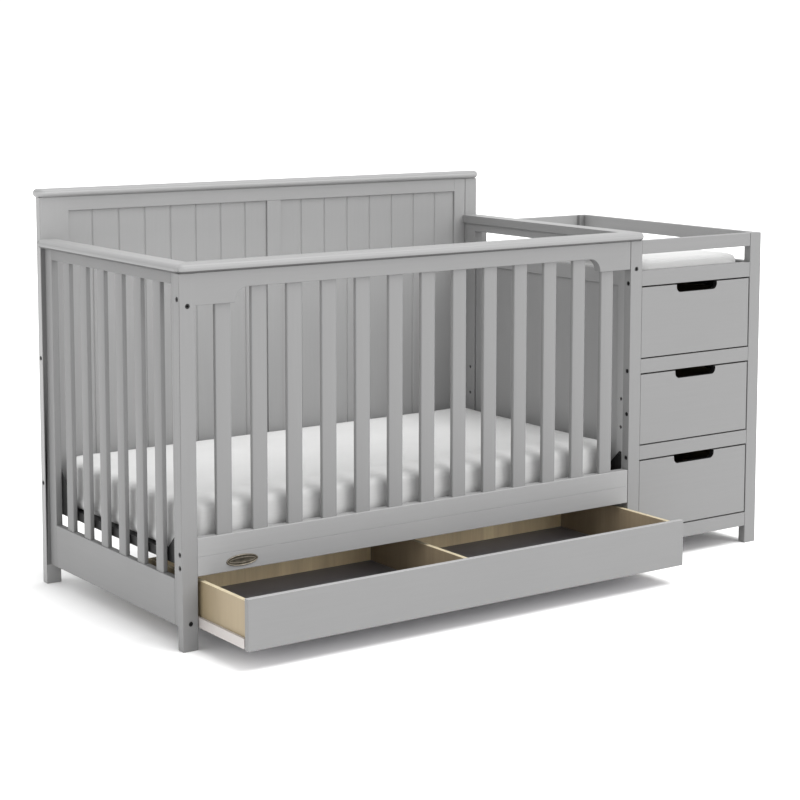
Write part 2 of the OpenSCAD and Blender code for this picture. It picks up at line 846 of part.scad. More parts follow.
// Each level is how far its ring lies inside the outline, its share of that ring, and its height
function cushion_levels(h, edge_r, crown) = concat(
    [for (s = [0.5, 0.85]) [edge_r, s, 0]],
    [for (a = [0:22.5:90]) [edge_r * (1 - sin(a)), 1, edge_r * (1 - cos(a))]],
    [for (a = [0:22.5:90]) [edge_r * (1 - cos(a)), 1, h - edge_r * (1 - sin(a))]],
    [for (s = [0.96, 0.88, 0.76, 0.6, 0.42, 0.22]) [edge_r, s, h + crown * (1 - s * s)]]);

module cushion(hx, hy, h, corner_r, edge_r, crown, draw) {
    levels = cushion_levels(h, edge_r, crown);
    rings = [for (l = levels)
        [for (p = outline(hx - l[0], hy - l[0], corner_r - l[0]))
            let (q = drawn_in(p, hx, hy, draw)) [q[0] * l[1], q[1] * l[1], l[2]]]];
    n = len(rings[0]);
    last = len(rings) - 1;
    points = concat([[0, 0, 0]], [for (ring = rings) each ring], [[0, 0, h + crown]]);
    top = len(points) - 1;
    function at(i, j) = 1 + i * n + j % n;
    faces = concat(
        [for (j = [0:n - 1]) [0, at(0, j), at(0, j + 1)]],
        [for (i = [0:last - 1], j = [0:n - 1], side = [0, 1]) side == 0
            ? [at(i, j), at(i + 1, j), at(i + 1, j + 1)]
            : [at(i, j), at(i + 1, j + 1), at(i, j + 1)]],
        [for (j = [0:n - 1]) [top, at(last, j + 1), at(last, j)]]);
    polyhedron(points = points, faces = faces, convexity = 4);
}

module mattress() {
    hx = (inner_x1 - inner_x0) / 2 - hanger_pad_x;
    hy = (inner_y1 - inner_y0) / 2 - mattress_side_gap;
    color(LINEN)
        translate([(inner_x0 + inner_x1) / 2, (inner_y0 + inner_y1) / 2, support_top + soft_gap])
            cushion(hx, hy, mattress_h, mattress_corner_r, mattress_edge_r, mattress_crown,
                mattress_draw);
}

// ---------- drawer parts ----------

// A painted drawer front
module drawer_front(xs, y, zs) {
    color(PAINT)
        board(shrunk(xs, front_gap), [y, y + front_t], zs);
}

// The two sides of a drawer that stands between the given slides' faces
module drawer_side_pair(xs, y, z, h) {
    outer = shrunk(xs, slide_space);
    for (x = [outer[0], outer[1] - side_t])
        board([x, x + side_t], [y, y + box_l], [z, z + h]);
}

module drawer_back_board(xs, y, z, h) {
    inner = shrunk(xs, slide_space + side_t);
    board(inner, [y + box_l - side_t, y + box_l], [z, z + h]);
}

module drawer_bottom_board(xs, y, z) {
    inner = shrunk(xs, slide_space + side_t);
    board(inner, [y, y + box_l - side_t], [z + bottom_lift, z + bottom_lift + bottom_t]);
}

// The moving channels, open below, one along the lower edge of each side
module runner_pair(xs, y, z) {
    outer = shrunk(xs, slide_space);
    for (x = [outer[0] - channel_w, outer[1]])
        difference() {
            board([x, x + channel_w], [y, y + slide_l], [z, z + slide_h]);
            board([x + sheet_t, x + channel_w - sheet_t], [y - over, y + slide_l + over],
                [z - over, z + slide_h - sheet_t]);
        }
}

// The fixed tracks: a blade stands in each channel on a foot that reaches to the wall beside it
module track_pair(xs, walls, y, z) {
    outer = shrunk(xs, slide_space);
    foot_z = z - slide_clear - sheet_t;
    blade_top = z + slide_h - sheet_t - slide_clear;
    blade_in = (channel_w - blade_t) / 2;
    left_blade = outer[0] - blade_in;
    right_blade = outer[1] + blade_in;
    wall_top = z + slide_h;
    track_side([walls[0], left_blade], [left_blade - blade_t, left_blade],
        [walls[0], walls[0] + sheet_t], y, foot_z, blade_top, wall_top);
    track_side([right_blade, walls[1]], [right_blade, right_blade + blade_t],
        [walls[1] - sheet_t, walls[1]], y, foot_z, blade_top, wall_top);
}

module track_side(foot, blade, flange, y, foot_z, blade_top, wall_top) {
    ys = [y, y + slide_l];
    board(foot, ys, [foot_z, foot_z + sheet_t]);
    board(blade, ys, [foot_z, blade_top]);
    board(flange, ys, [foot_z, wall_top]);
}

slide_start = 2;
track_y = front_y + post_t + slide_start;

// ---------- the under-crib drawer ----------

crib_bay = [left_x + post_w, join_x];
crib_front_y = front_y - crib_drawer_open;
crib_box_y = crib_front_y + front_t;
crib_side_z = foot_h + side_lift;
crib_slide_z = foot_h + side_lift / 2;

module crib_drawer_front() {
    drawer_front(crib_bay, crib_front_y, [foot_h, foot_h + crib_front_h]);
}

module crib_drawer_sides() {
    color(BARE_WOOD)
        drawer_side_pair(crib_bay, crib_box_y, crib_side_z, crib_side_h);
}

module crib_drawer_back() {
    color(BARE_WOOD)
        drawer_back_board(crib_bay, crib_box_y, crib_side_z, crib_side_h);
}

module crib_drawer_divider() {
    mid = (crib_bay[0] + crib_bay[1]) / 2;
    color(BARE_WOOD)
        board([mid - side_t / 2, mid + side_t / 2], [crib_box_y, crib_box_y + box_l - side_t],
            [crib_side_z + bottom_lift + bottom_t, crib_side_z + crib_side_h - divider_drop]);
}

module crib_drawer_bottom() {
    color(DARK_BOARD)
        drawer_bottom_board(crib_bay, crib_box_y, crib_side_z);
}

module crib_drawer_runners() {
    color(WHITE_STEEL)
        runner_pair(crib_bay, crib_box_y + over, crib_slide_z);
}

module crib_drawer_tracks() {
    color(WHITE_STEEL)
        track_pair(crib_bay, [inner_x0, inner_x1], track_y, crib_slide_z);
}

// ---------- changer ----------

module changer_front_left_post() {
    color(PAINT)
        difference() {
            board([join_x, bay_x0], [front_y, front_y + post_t], [0, post_h]);
            bolt_holes(changer_bolts);
        }
}

module changer_front_right_post() {
    color(PAINT)
        board([bay_x1, right_x], [front_y, front_y + post_t], [0, post_h]);
}

module changer_rear_posts() {
    color(PAINT)
        for (x = [bay_x0, bay_x1])
            board([x, x + post_w], [inner_y1, back_y], [0, post_h]);
}

gallery_zs = [post_h - gallery_rail_h, post_h];
tray_rail_zs = [tray_rail_z, tray_rail_top];

module changer_front_top_rail() {
    color(PAINT)
        board([bay_x0, bay_x1], [front_y, front_y + rail_t], gallery_zs);
}

module changer_right_top_rail() {
    color(PAINT)
        board([right_x - rail_t, right_x], [inner_y0, inner_y1], gallery_zs);
}

module changer_back_top_rail() {
    color(PAINT)
        board([rear_left_x1, bay_x1], [back_y - back_rail_t, back_y], gallery_zs);
}

// The flat cap along the changer's left, from the front cap to the headboard. It stands out over the
// inside of the crib.
module changer_left_cap() {
    x0 = join_x - cap_overhang;
    color(PAINT)
        board([x0, x0 + cap_w], [front_y - cap_overhang + cap_w, inner_y1], [post_h, post_h + cap_t]);
}

module changer_tray_front_rail() {
    color(PAINT)
        difference() {
            board([bay_x0, bay_x1], [front_y, front_y + rail_t], tray_rail_zs);
            bolt_holes(changer_bolts);
        }
}

module changer_tray_back_rail() {
    color(PAINT)
        board([rear_left_x1, bay_x1], [back_y - back_rail_t, back_y], tray_rail_zs);
}

// A side frame in one glued piece, drawn for the left side: two stiles, rails and a sunk panel.
// Its outer face is at X = 0 and it reaches to X = side_frame_t.
module side_frame(top_z) {
    front_in = inner_y0 + side_front_stile_w;
    back_in = inner_y1 - side_back_stile_w;
    board([0, side_frame_t], [inner_y0, front_in], [foot_h, top_z]);
    board([0, side_frame_t], [back_in, inner_y1], [foot_h, top_z]);
    board([0, side_frame_t], [front_in, back_in], [foot_h, opening_z(0)]);
    board([0, side_frame_t], [front_in, back_in], tray_rail_zs);
    board([panel_recess, panel_recess + side_panel_t], [front_in, back_in],
        [opening_z(0), tray_rail_z]);
}

module changer_left_side() {
    color(PAINT)
        difference() {
            union() {
                translate([join_x, 0, 0])
                    side_frame(post_h);
                board([join_x, case_x0], [inner_y0, inner_y1], [post_h - left_rail_h, post_h]);
            }
            bolt_holes(changer_bolts);
            height_holes([inner_x1]);
        }
}

module changer_right_side() {
    color(PAINT)
        translate([right_x, 0, 0])
            mirror([1, 0, 0])
                side_frame(tray_rail_top);
}

module changer_back_panel() {
    y0 = back_y - back_rail_t;
    color(PAINT)
        board([rear_left_x1, bay_x1], [y0, y0 + back_panel_t], [foot_h, tray_rail_z]);
}

// The front rails between the drawers, and the cleats behind the posts that carry the slides
module changer_drawer_rails() {
    color(PAINT)
        difference() {
            for (k = [0:drawer_n - 1]) {
                board([bay_x0, bay_x1], [front_y, front_y + rail_t], [rail_z(k), opening_z(k)]);
                for (xs = [[case_x0, bay_x0], [bay_x1, case_x1]])
                    board(xs, [inner_y0, track_y + slide_l], [opening_z(k), opening_z(k) + cleat_h]);
            }
            bolt_holes(changer_bolts);
        }
}

module tray_board() {
    zs = [tray_top - tray_t, tray_top];
    color(PAINT) {
        board([case_x0, case_x1], [inner_y0, inner_y1], zs);
        board([bay_x0, bay_x1], [front_y + rail_t, inner_y0 + over], zs);
        board([rear_left_x1, bay_x1], [inner_y1 - over, back_y - back_rail_t], zs);
    }
}

module changing_pad() {
    ys = [front_y + rail_t, inner_y1];
    hx = (case_x1 - case_x0) / 2 - pad_side_gap;
    hy = (ys[1] - ys[0]) / 2 - pad_end_gap;
    color(LINEN)
        translate([(case_x0 + case_x1) / 2, (ys[0] + ys[1]) / 2, tray_top + soft_gap])
            cushion(hx, hy, pad_h, pad_corner_r, pad_edge_r, pad_crown, pad_draw);
}

// ---------- changer drawers, counted from 0 at the bottom ----------

changer_bay = [bay_x0, bay_x1];
changer_box_y = front_y + front_t;
function front_z(k) = opening_z(k) + front_gap;
function box_z(k) = front_z(k) + side_lift;
function slide_z(k) = front_z(k) + side_lift / 2;

// A front with a finger slot cut into its upper edge
module changer_front(k) {
    zs = [front_z(k), opening_z(k) + opening_h - front_gap];
    color(PAINT)
        difference() {
            board(shrunk(changer_bay, front_gap), [front_y, front_y + front_t], zs);
            translate([(bay_x0 + bay_x1) / 2, front_y + front_t + over, zs[1] - finger_h])
                rotate([90, 0, 0])
                    linear_extrude(front_t + 2 * over)
                        finger_outline();
        }
}

module finger_outline() {
    half = finger_w / 2;
    r = min(finger_r, finger_h);
    translate([-half, r])
        square([finger_w, finger_h - r + over]);
    translate([-half + r, 0])
        square([finger_w - 2 * r, finger_h + over]);
    for (x = [-half + r, half - r])
        translate([x, r])
            circle(r = r);
}

module changer_box(k) {
    color(BARE_WOOD) {
        drawer_side_pair(changer_bay, changer_box_y, box_z(k), changer_side_h);
        drawer_back_board(changer_bay, changer_box_y, box_z(k), changer_side_h);
    }
}

module changer_bottom(k) {
    color(DARK_BOARD)
        drawer_bottom_board(changer_bay, changer_box_y, box_z(k));
}

module changer_runners(k) {
    color(WHITE_STEEL)
        runner_pair(changer_bay, changer_box_y + over, slide_z(k));
}

module changer_drawer_tracks() {
    color(WHITE_STEEL)
        for (k = [0:drawer_n - 1])
            track_pair(changer_bay, changer_bay, track_y, slide_z(k));
}

module bottom_drawer_front() { changer_front(0); }
module bottom_drawer_box() { changer_box(0); }
module bottom_drawer_bottom() { changer_bottom(0); }
module bottom_drawer_runners() { changer_runners(0); }
module middle_drawer_front() { changer_front(1); }
module middle_drawer_box() { changer_box(1); }
module middle_drawer_bottom() { changer_bottom(1); }
module middle_drawer_runners() { changer_runners(1); }
module top_drawer_front() { changer_front(2); }
module top_drawer_box() { changer_box(2); }
module top_drawer_bottom() { changer_bottom(2); }
module top_drawer_runners() { changer_runners(2); }

front_left_post();
front_top_rail();
front_bottom_rail();
front_apron();
front_slats();
front_cap();
oval_badge();
end_stiles();
end_top_rail();
end_bottom_rail();
end_slats();
end_cap();
headboard_left_post();
headboard_right_post();
headboard_outer_stiles();
headboard_centre_stile();
headboard_top_rail();
headboard_bottom_rail();
headboard_boards();
headboard_cap();
support_frame();
support_wires();
support_hangers();
mattress();
crib_drawer_tracks();
crib_drawer_front();
crib_drawer_sides();
crib_drawer_back();
crib_drawer_divider();
crib_drawer_bottom();
crib_drawer_runners();
changer_front_left_post();
changer_front_right_post();
changer_rear_posts();
changer_front_top_rail();
changer_right_top_rail();
changer_back_top_rail();
changer_left_cap();
changer_tray_front_rail();
changer_tray_back_rail();
changer_left_side();
changer_right_side();
changer_back_panel();
changer_drawer_rails();
changer_drawer_tracks();
tray_board();
changing_pad();
top_drawer_front();
top_drawer_box();
top_drawer_bottom();
top_drawer_runners();
middle_drawer_front();
middle_drawer_box();
middle_drawer_bottom();
middle_drawer_runners();
bottom_drawer_front();
bottom_drawer_box();
bottom_drawer_bottom();
bottom_drawer_runners();
frame_bolts();
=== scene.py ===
"""Crib with attached changer: its looks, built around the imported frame.

Everything is in metres and in the frame's own axes: +X from the crib to the changer, +Y from the
front to the headboard, +Z up from the floor.
"""

import json
import math

import bmesh
import bpy
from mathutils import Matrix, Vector
from mathutils.bvhtree import BVHTree


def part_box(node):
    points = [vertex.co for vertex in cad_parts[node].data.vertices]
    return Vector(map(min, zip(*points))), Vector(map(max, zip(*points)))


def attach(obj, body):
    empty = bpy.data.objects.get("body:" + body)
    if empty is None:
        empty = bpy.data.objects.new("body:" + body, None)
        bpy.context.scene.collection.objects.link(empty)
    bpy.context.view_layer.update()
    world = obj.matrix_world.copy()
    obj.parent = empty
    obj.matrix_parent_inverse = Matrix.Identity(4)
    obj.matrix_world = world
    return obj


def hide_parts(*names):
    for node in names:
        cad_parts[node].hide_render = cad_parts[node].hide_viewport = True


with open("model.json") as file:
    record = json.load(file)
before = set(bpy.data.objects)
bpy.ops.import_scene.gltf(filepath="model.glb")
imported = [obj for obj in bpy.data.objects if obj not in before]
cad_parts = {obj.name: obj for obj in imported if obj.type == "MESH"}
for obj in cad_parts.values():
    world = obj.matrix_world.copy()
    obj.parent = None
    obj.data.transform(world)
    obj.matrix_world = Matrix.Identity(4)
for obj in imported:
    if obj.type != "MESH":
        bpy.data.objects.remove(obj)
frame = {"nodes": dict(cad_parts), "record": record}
scene = bpy.context.scene
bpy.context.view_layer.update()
record = frame["record"]
BODY_OF = {node: body for body, nodes in record["behaviour"]["bodies"].items() for node in nodes}
X, Y, Z = 0, 1, 2

# Rounding of edges
EASED_SLAT = 0.0022     # slats
EASED_PAINT = 0.0016    # other free painted edges
EASED_DRAWER = 0.0012   # the wide drawer's front
EASED_POST = 0.0010     # the changer's front posts
EASED_FRONT = 0.0008    # the changer drawers' fronts and the rails around them
EASED_WOOD = 0.0008     # drawer boxes
EASED_STEEL = 0.0004    # folded sheet steel
SEAM = 0.0005           # where one board meets another, which leaves a fine line
WIDE_SEAM = 0.0010      # the same for the joints that show best
SHORT_EDGE = 0.003      # an edge shorter than this is rounded as a seam
SOFT_TURN = 35          # two faces that turn by fewer degrees are shaded as one
LINE_TURN = 40          # the edge between two faces that turn by more degrees is rounded

# What counts as the same place or direction
TOUCH = 0.0006          # boards nearer than this to each other meet
NEAR = 0.0002           # an edge this near to a place lies there
TRIM_REACH = 0.0005     # a corner this near to a trimmed place moves with it
WELD = 0.00001          # points nearer than this are one
CUT_SNAP = 0.000001     # points nearer than this to a cut lie on it
FLAT_TURN = 0.5         # faces that turn by fewer degrees are one flat face
FACING = 0.7            # a face looks along an axis when its normal has more than this of it

# Places that the frame gives
POST_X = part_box("front_left_post")[1].x                 # right face of the crib's left posts
STILE_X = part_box("headboard_top_rail")[0].x             # right face of the headboard's left stile
CRIB_END_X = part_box("front_top_rail")[1].x              # where the crib's rails meet the changer
RAIL_END_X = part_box("changer_front_top_rail")[1].x      # where the changer's rails meet its right post

# Corners that move for a fine line or a gap, as (axis, place, by)
JOINT_LINE = ((X, CRIB_END_X, -0.0012),)
RAIL_LINE = ((X, RAIL_END_X, -0.0008),)
# How far the edges of a changer drawer's front move
FRONT_LEFT, FRONT_RIGHT, FRONT_TOP, FRONT_BOTTOM = -0.0024, -0.0012, -0.0010, 0.0006

# How light the paint, the covers and the floor are
PAINT_TONE = 0.186
LINEN_TONE = 0.485
FLOOR_TONE = 0.90
# Painted light and shade: the paint times these (over 1 is painted light, under 1 painted shade), for pieces
# and faces that the studio lights more or less than these lights do
BACK_LIGHT = 1.36       # headboard, and the gallery's rails at the back and inside on the right
LOW_LIGHT = 1.32        # apron, bottom rail and the changer's side towards the crib
END_LIGHT = {"y": 0.80, "z": 0.90}      # top rail and slats of the crib's left end
CAP_LIGHT = 1.18        # tops of the caps, and noses of the end cap and the changer's cap
NOSE_LIGHT = 1.28       # nose of the front cap and top of the end cap
BACK_NOSE_LIGHT = 1.60  # nose of the headboard's cap and top edge of the wide drawer's front
UNDER_LIGHT = {"x": 0.45, "y": 0.33}    # undersides of the front cap, and of the end's and the changer's
NOOK_LIGHT = 0.70       # the headboard's left post in the corner behind the crib's left end
# (low, high, by): painted light, lighter by that much below the low height, and no lighter from the high one
# up
BACK_LIFT = (0.70, 0.90, 1.15)          # headboard
INNER_LIFT = (0.40, 0.70, 1.28)         # the changer's side towards the crib

SKY = 1.1               # strength of the soft light from all sides
# Azimuth and elevation in degrees, strength, and softness in degrees of each sun
SUNS = {"key": (45.0, 68.0, 2.8, 40.0),
        "fill": (24.0, 20.0, 1.0, 35.0),
        "side": (-92.0, 18.0, 0.6, 50.0)}
CAMERA_PLACE = (-3.0310, -4.1224, 1.3649)
CAMERA_DOWN = 6.576     # degrees that it looks down
CAMERA_RIGHT = 34.871   # degrees that it looks to the right of +Y
CAMERA_LENS = 88.53     # mm, on a sensor 36 mm wide
CAMERA_SHIFT = (0.0161, -0.15)


# ---------- materials ----------

WHITE = (1.0, 1.0, 1.0)
GRAIN = {"x": (0.04, 1.0, 1.0), "y": (1.0, 0.04, 1.0), "z": (1.0, 1.0, 0.04)}     # stretch along each
NOISE_LOW, NOISE_HIGH = 0.3, 0.7        # noise mostly lies between these


def tone(colour, factor):
    """A colour made lighter or darker, and no lighter than white."""
    return tuple(min(1.0, part * factor) for part in colour)


def added(tree, kind, sockets, **settings):
    """A new node. sockets: a value or another node's output for each input that it names."""
    node = tree.nodes.new(kind)
    for name, value in settings.items():
        setattr(node, name, value)
    for name, value in sockets.items():
        if isinstance(value, bpy.types.NodeSocket):
            tree.links.new(value, node.inputs[name])
        else:
            node.inputs[name].default_value = value
    return node


def new_material(name, colour, sockets):
    """A material, its node tree and its shader, with the plain values set on the shader's sockets."""
    material = bpy.data.materials.new(name)
    material.use_nodes = True
    material.diffuse_color = (*colour, 1.0)
    tree = material.node_tree
    shader = tree.nodes["Principled BSDF"]
    shader.inputs["Base Color"].default_value = (*colour, 1.0)
    for socket, value in sockets.items():
        shader.inputs[socket].default_value = value
    return material, tree, shader


def place(tree, stretch=(1.0, 1.0, 1.0), turn=0.0):
    """Object coordinates, stretched along the grain and turned about Z."""
    coords = tree.nodes.new("ShaderNodeTexCoord")
    mapping = added(tree, "ShaderNodeMapping", {
        "Vector": coords.outputs["Object"], "Scale": stretch, "Rotation": (0.0, 0.0, turn)})
    return mapping.outputs["Vector"]


def noise(tree, vector, scale, detail=3.0, roughness=0.5, distortion=0.0):
    """Noise with that many cells to the metre, more or less."""
    node = added(tree, "ShaderNodeTexNoise", {
        "Vector": vector, "Scale": scale, "Detail": detail, "Roughness": roughness,
        "Distortion": distortion})
    return node.outputs["Fac"]


def ramp(tree, value, *stops):
    """A colour ramp over (position, (r, g, b)) stops."""
    node = added(tree, "ShaderNodeValToRGB", {"Fac": value})
    elements = node.color_ramp.elements
    while len(elements) < len(stops):
        elements.new(0.5)
    for element, (position, colour) in zip(elements, stops):
        element.position = position
        element.color = (*colour, 1.0)
    return node.outputs["Color"]


def shades(tree, value, colour, dark, light, start=NOISE_LOW, stop=NOISE_HIGH):
    """A ramp from the colour times dark to the colour times light."""
    return ramp(tree, value, (start, tone(colour, dark)), (stop, tone(colour, light)))


def spread(tree, value, low, high, start=NOISE_LOW, stop=NOISE_HIGH):
    """A value from start to stop, spread to the range from low to high."""
    node = added(tree, "ShaderNodeMapRange", {
        "Value": value, "From Min": start, "From Max": stop, "To Min": low, "To Max": high})
    return node.outputs["Result"]


def lifted(tree, low, high, by):
    """A factor for painted light that is by under the low height and fades to 1 at the high one."""
    height = added(tree, "ShaderNodeSeparateXYZ", {"Vector": place(tree)})
    return spread(tree, height.outputs["Z"], by, 1.0, low, high)


def times(tree, a, b):
    """One colour multiplied by another or by a value."""
    node = added(tree, "ShaderNodeMix", {"Factor": 1.0, "A": a, "B": b},
                 data_type="RGBA", blend_type="MULTIPLY")
    return node.outputs["Result"]


def dress(tree, shader, tint, roughness, *layers):
    """Links a colour, a roughness if one is given, and bump layers of (height, strength, distance in
    metres), one on top of the other, to the shader."""
    tree.links.new(tint, shader.inputs["Base Color"])
    if roughness:
        tree.links.new(roughness, shader.inputs["Roughness"])
    below = None
    for height, strength, distance in layers:
        node = added(tree, "ShaderNodeBump", {"Height": height, "Strength": strength, "Distance": distance})
        if below:
            tree.links.new(below, node.inputs["Normal"])
        below = node.outputs["Normal"]
    tree.links.new(below, shader.inputs["Normal"])


def paint(axis, kind="", light=1.0, lift=None):
    """Satin light grey paint over wood whose grain shows through faintly along the given axis.

    kind: a word in the material's name. light: makes it lighter or darker, as painted light or shade. lift:
    (low, high, by) makes it lighter near the floor, where less light comes, as painted light."""
    colour = tone(WHITE, PAINT_TONE * light)
    material, tree, shader = new_material("painted_wood_" + kind + axis, colour, {
        "Roughness": 0.46, "Coat Weight": 0.06, "Coat Roughness": 0.35, "Specular IOR Level": 0.35})
    grain = noise(tree, place(tree, GRAIN[axis]), 160.0, detail=4.0, roughness=0.6, distortion=0.3)
    cloud = noise(tree, place(tree), 3.5, detail=2.0)
    peel = noise(tree, place(tree), 520.0, detail=2.0)
    tint = times(tree, shades(tree, grain, colour, 0.985, 1.012), shades(tree, cloud, WHITE, 0.975, 1.0))
    if lift:
        tint = times(tree, tint, lifted(tree, *lift))
    dress(tree, shader, tint, spread(tree, cloud, 0.40, 0.52), (grain, 0.035, 0.0006), (peel, 0.06, 0.0002))
    return material


def lit_top_wood():
    """Paler wood for the drawer boxes' top edges, which look up: painted light."""
    colour = (0.44, 0.38, 0.26)
    material, tree, shader = new_material("bare_wood_edge", colour, {"Roughness": 0.55})
    grain = noise(tree, place(tree, (0.3, 0.3, 1.0)), 260.0, detail=4.0, roughness=0.6)
    dress(tree, shader, shades(tree, grain, colour, 0.86, 1.06), spread(tree, grain, 0.48, 0.62),
          (grain, 0.15, 0.0004))
    return material


def bare_wood(name="bare_wood", colour=(0.275, 0.220, 0.138)):
    """Clear-coated pale softwood of the drawer boxes, with a faint upright grain."""
    material, tree, shader = new_material(name, colour, {
        "Roughness": 0.48, "Coat Weight": 0.1, "Coat Roughness": 0.3})
    upright = place(tree, (1.0, 1.0, 0.06))
    wide = noise(tree, upright, 9.0, detail=3.0, roughness=0.55, distortion=0.6)
    fine = noise(tree, upright, 130.0, detail=4.0, roughness=0.65, distortion=0.2)
    bands = ramp(tree, wide, (0.28, tone(colour, 0.80)), (0.50, colour), (0.72, tone(colour, 1.2)))
    pores = ramp(tree, fine, (0.30, (0.90, 0.88, 0.85)), (0.65, WHITE))
    dress(tree, shader, times(tree, bands, pores), spread(tree, fine, 0.42, 0.56), (fine, 0.16, 0.0004))
    return material


def dark_board():
    """Thin board with a dark purplish grey face and a fine fleck."""
    colour = (0.245, 0.235, 0.255)
    material, tree, shader = new_material("dark_board", colour, {"Roughness": 0.55})
    fleck = noise(tree, place(tree), 420.0, detail=3.0, roughness=0.7)
    cloud = noise(tree, place(tree, (0.5, 1.0, 1.0)), 7.0, detail=3.0)
    tint = times(tree, shades(tree, cloud, colour, 0.88, 1.12),
                 shades(tree, fleck, WHITE, 0.86, 1.0, start=0.35, stop=0.62))
    dress(tree, shader, tint, spread(tree, fleck, 0.48, 0.64), (fleck, 0.12, 0.0003))
    return material


def linen():
    """Plain white woven cover."""
    colour = (LINEN_TONE, LINEN_TONE, LINEN_TONE * 0.995)
    material, tree, shader = new_material("linen", colour, {
        "Roughness": 0.85, "Sheen Weight": 0.25, "Sheen Roughness": 0.5, "Specular IOR Level": 0.2})
    warp, weft = [added(tree, "ShaderNodeTexWave", {
        "Vector": place(tree, turn=turn), "Scale": 190.0, "Distortion": 1.2, "Detail": 2.0,
        "Detail Scale": 1.5}) for turn in (0.0, math.pi / 2)]
    weave = added(tree, "ShaderNodeMath", {0: warp.outputs["Fac"], 1: weft.outputs["Fac"]},
                  operation="MULTIPLY")
    cloud = noise(tree, place(tree), 6.0, detail=3.0)
    slub = noise(tree, place(tree, (0.12, 1.0, 1.0)), 240.0, detail=3.0)
    tint = times(tree, shades(tree, cloud, colour, 0.97, 1.01),
                 shades(tree, slub, WHITE, 0.965, 1.0, stop=0.6))
    dress(tree, shader, tint, spread(tree, slub, 0.80, 0.92),
          (cloud, 0.10, 0.004), (weave.outputs["Value"], 0.20, 0.0003), (slub, 0.10, 0.0003))
    return material


def white_steel():
    """Off-white epoxy on folded sheet steel."""
    colour = (0.395, 0.37, 0.355)
    material, tree, shader = new_material("white_steel", colour, {"Roughness": 0.38, "Coat Weight": 0.2})
    peel = noise(tree, place(tree), 700.0, detail=2.0)
    cloud = noise(tree, place(tree, (1.0, 0.2, 1.0)), 12.0, detail=2.0)
    dress(tree, shader, shades(tree, cloud, colour, 0.95, 1.03), spread(tree, peel, 0.32, 0.44),
          (peel, 0.10, 0.0002))
    return material


def black_steel(name="black_steel", colour=(0.030, 0.030, 0.030)):
    """Dark epoxy on steel."""
    material, tree, shader = new_material(name, colour, {"Roughness": 0.42, "Specular IOR Level": 0.3})
    peel = noise(tree, place(tree), 650.0, detail=3.0, roughness=0.6)
    cloud = noise(tree, place(tree), 25.0, detail=2.0)
    dress(tree, shader, shades(tree, cloud, colour, 0.75, 1.4), spread(tree, peel, 0.34, 0.50),
          (peel, 0.18, 0.0002))
    return material


def bronze(name="bronze", colour=(0.075, 0.066, 0.05)):
    """Antiqued bronze, lighter where it is rubbed."""
    material, tree, shader = new_material(name, colour, {"Roughness": 0.42, "Metallic": 0.85})
    pits = noise(tree, place(tree), 900.0, detail=4.0, roughness=0.65)
    cloud = noise(tree, place(tree), 90.0, detail=3.0)
    tint = times(tree, shades(tree, cloud, colour, 0.7, 1.6),
                 shades(tree, pits, WHITE, 0.7, 1.0, start=0.35, stop=0.6))
    dress(tree, shader, tint, spread(tree, pits, 0.34, 0.55), (pits, 0.3, 0.0002))
    return material


def dark_recess():
    """Painted shade: near-black with a faint mottle, for the inside of a bolt's socket and the walls of a
    finger slot.
    """
    colour = (0.006, 0.006, 0.006)
    material, tree, shader = new_material("dark_recess", colour, {
        "Roughness": 0.8, "Specular IOR Level": 0.1})
    shade_mottle = noise(tree, place(tree), 800.0, detail=3.0)
    dress(tree, shader, shades(tree, shade_mottle, colour, 0.5, 1.6), None, (shade_mottle, 0.2, 0.0002))
    return material


PAINT = {axis: paint(axis) for axis in "xyz"}
# Painted light and shade: copies of the paint made lighter or darker by the factors above
BACK_LIT_PAINT = {axis: paint(axis, "back_", BACK_LIGHT, BACK_LIFT) for axis in "xyz"}
LOW_LIT_PAINT = paint("x", "low_", LOW_LIGHT)
INNER_LIT_PAINT = paint("z", "inner_", LOW_LIGHT, INNER_LIFT)
END_SHADED_PAINT = {axis: paint(axis, "end_", light) for axis, light in END_LIGHT.items()}
CAP_LIT_PAINT = {axis: paint(axis, "cap_", CAP_LIGHT) for axis in "xy"}
NOSE_LIT_PAINT = {axis: paint(axis, "nose_", NOSE_LIGHT) for axis in "xy"}
BACK_NOSE_LIT_PAINT = paint("x", "back_nose_", BACK_NOSE_LIGHT)
UNDER_SHADED_PAINT = {axis: paint(axis, "under_", light) for axis, light in UNDER_LIGHT.items()}
NOOK_SHADED_PAINT = paint("z", "nook_", NOOK_LIGHT)
BARE_WOOD = bare_wood()
# Painted light: lighter copies of the bare wood for the wide drawer's faces that look forwards and sideways
# inside it
BACK_LIT_WOOD = bare_wood("bare_wood_back", (0.86, 0.70, 0.45))
SIDE_LIT_WOOD = bare_wood("bare_wood_inner_side", (0.31, 0.245, 0.16))
TOP_EDGE_LIT = lit_top_wood()
DARK_BOARD = dark_board()
LINEN = linen()
WHITE_STEEL = white_steel()
BLACK_STEEL = black_steel()
# Black steel darker than the frame's, for the hangers and bolt heads: their own black, partly deepened as
# painted shade
DEEP_BLACK = black_steel("black_steel_deep", (0.008, 0.008, 0.008))
BRONZE = bronze()
RUBBED_BRONZE = bronze("bronze_rim", (0.17, 0.15, 0.12))
RECESS_SHADE = dark_recess()


# ---------- meshes and objects ----------

def merged(node):
    """A CAD piece as one closed bmesh, with its flat faces made whole."""
    source = frame["nodes"][node].data
    mesh = bpy.data.meshes.new(node + "_source")
    mesh.from_pydata([v.co[:] for v in source.vertices], [], [p.vertices[:] for p in source.polygons])
    bm = bmesh.new()
    bm.from_mesh(mesh)
    bpy.data.meshes.remove(mesh)
    bmesh.ops.remove_doubles(bm, verts=bm.verts, dist=WELD)
    bmesh.ops.dissolve_limit(bm, angle_limit=math.radians(FLAT_TURN), verts=bm.verts, edges=bm.edges)
    return bm


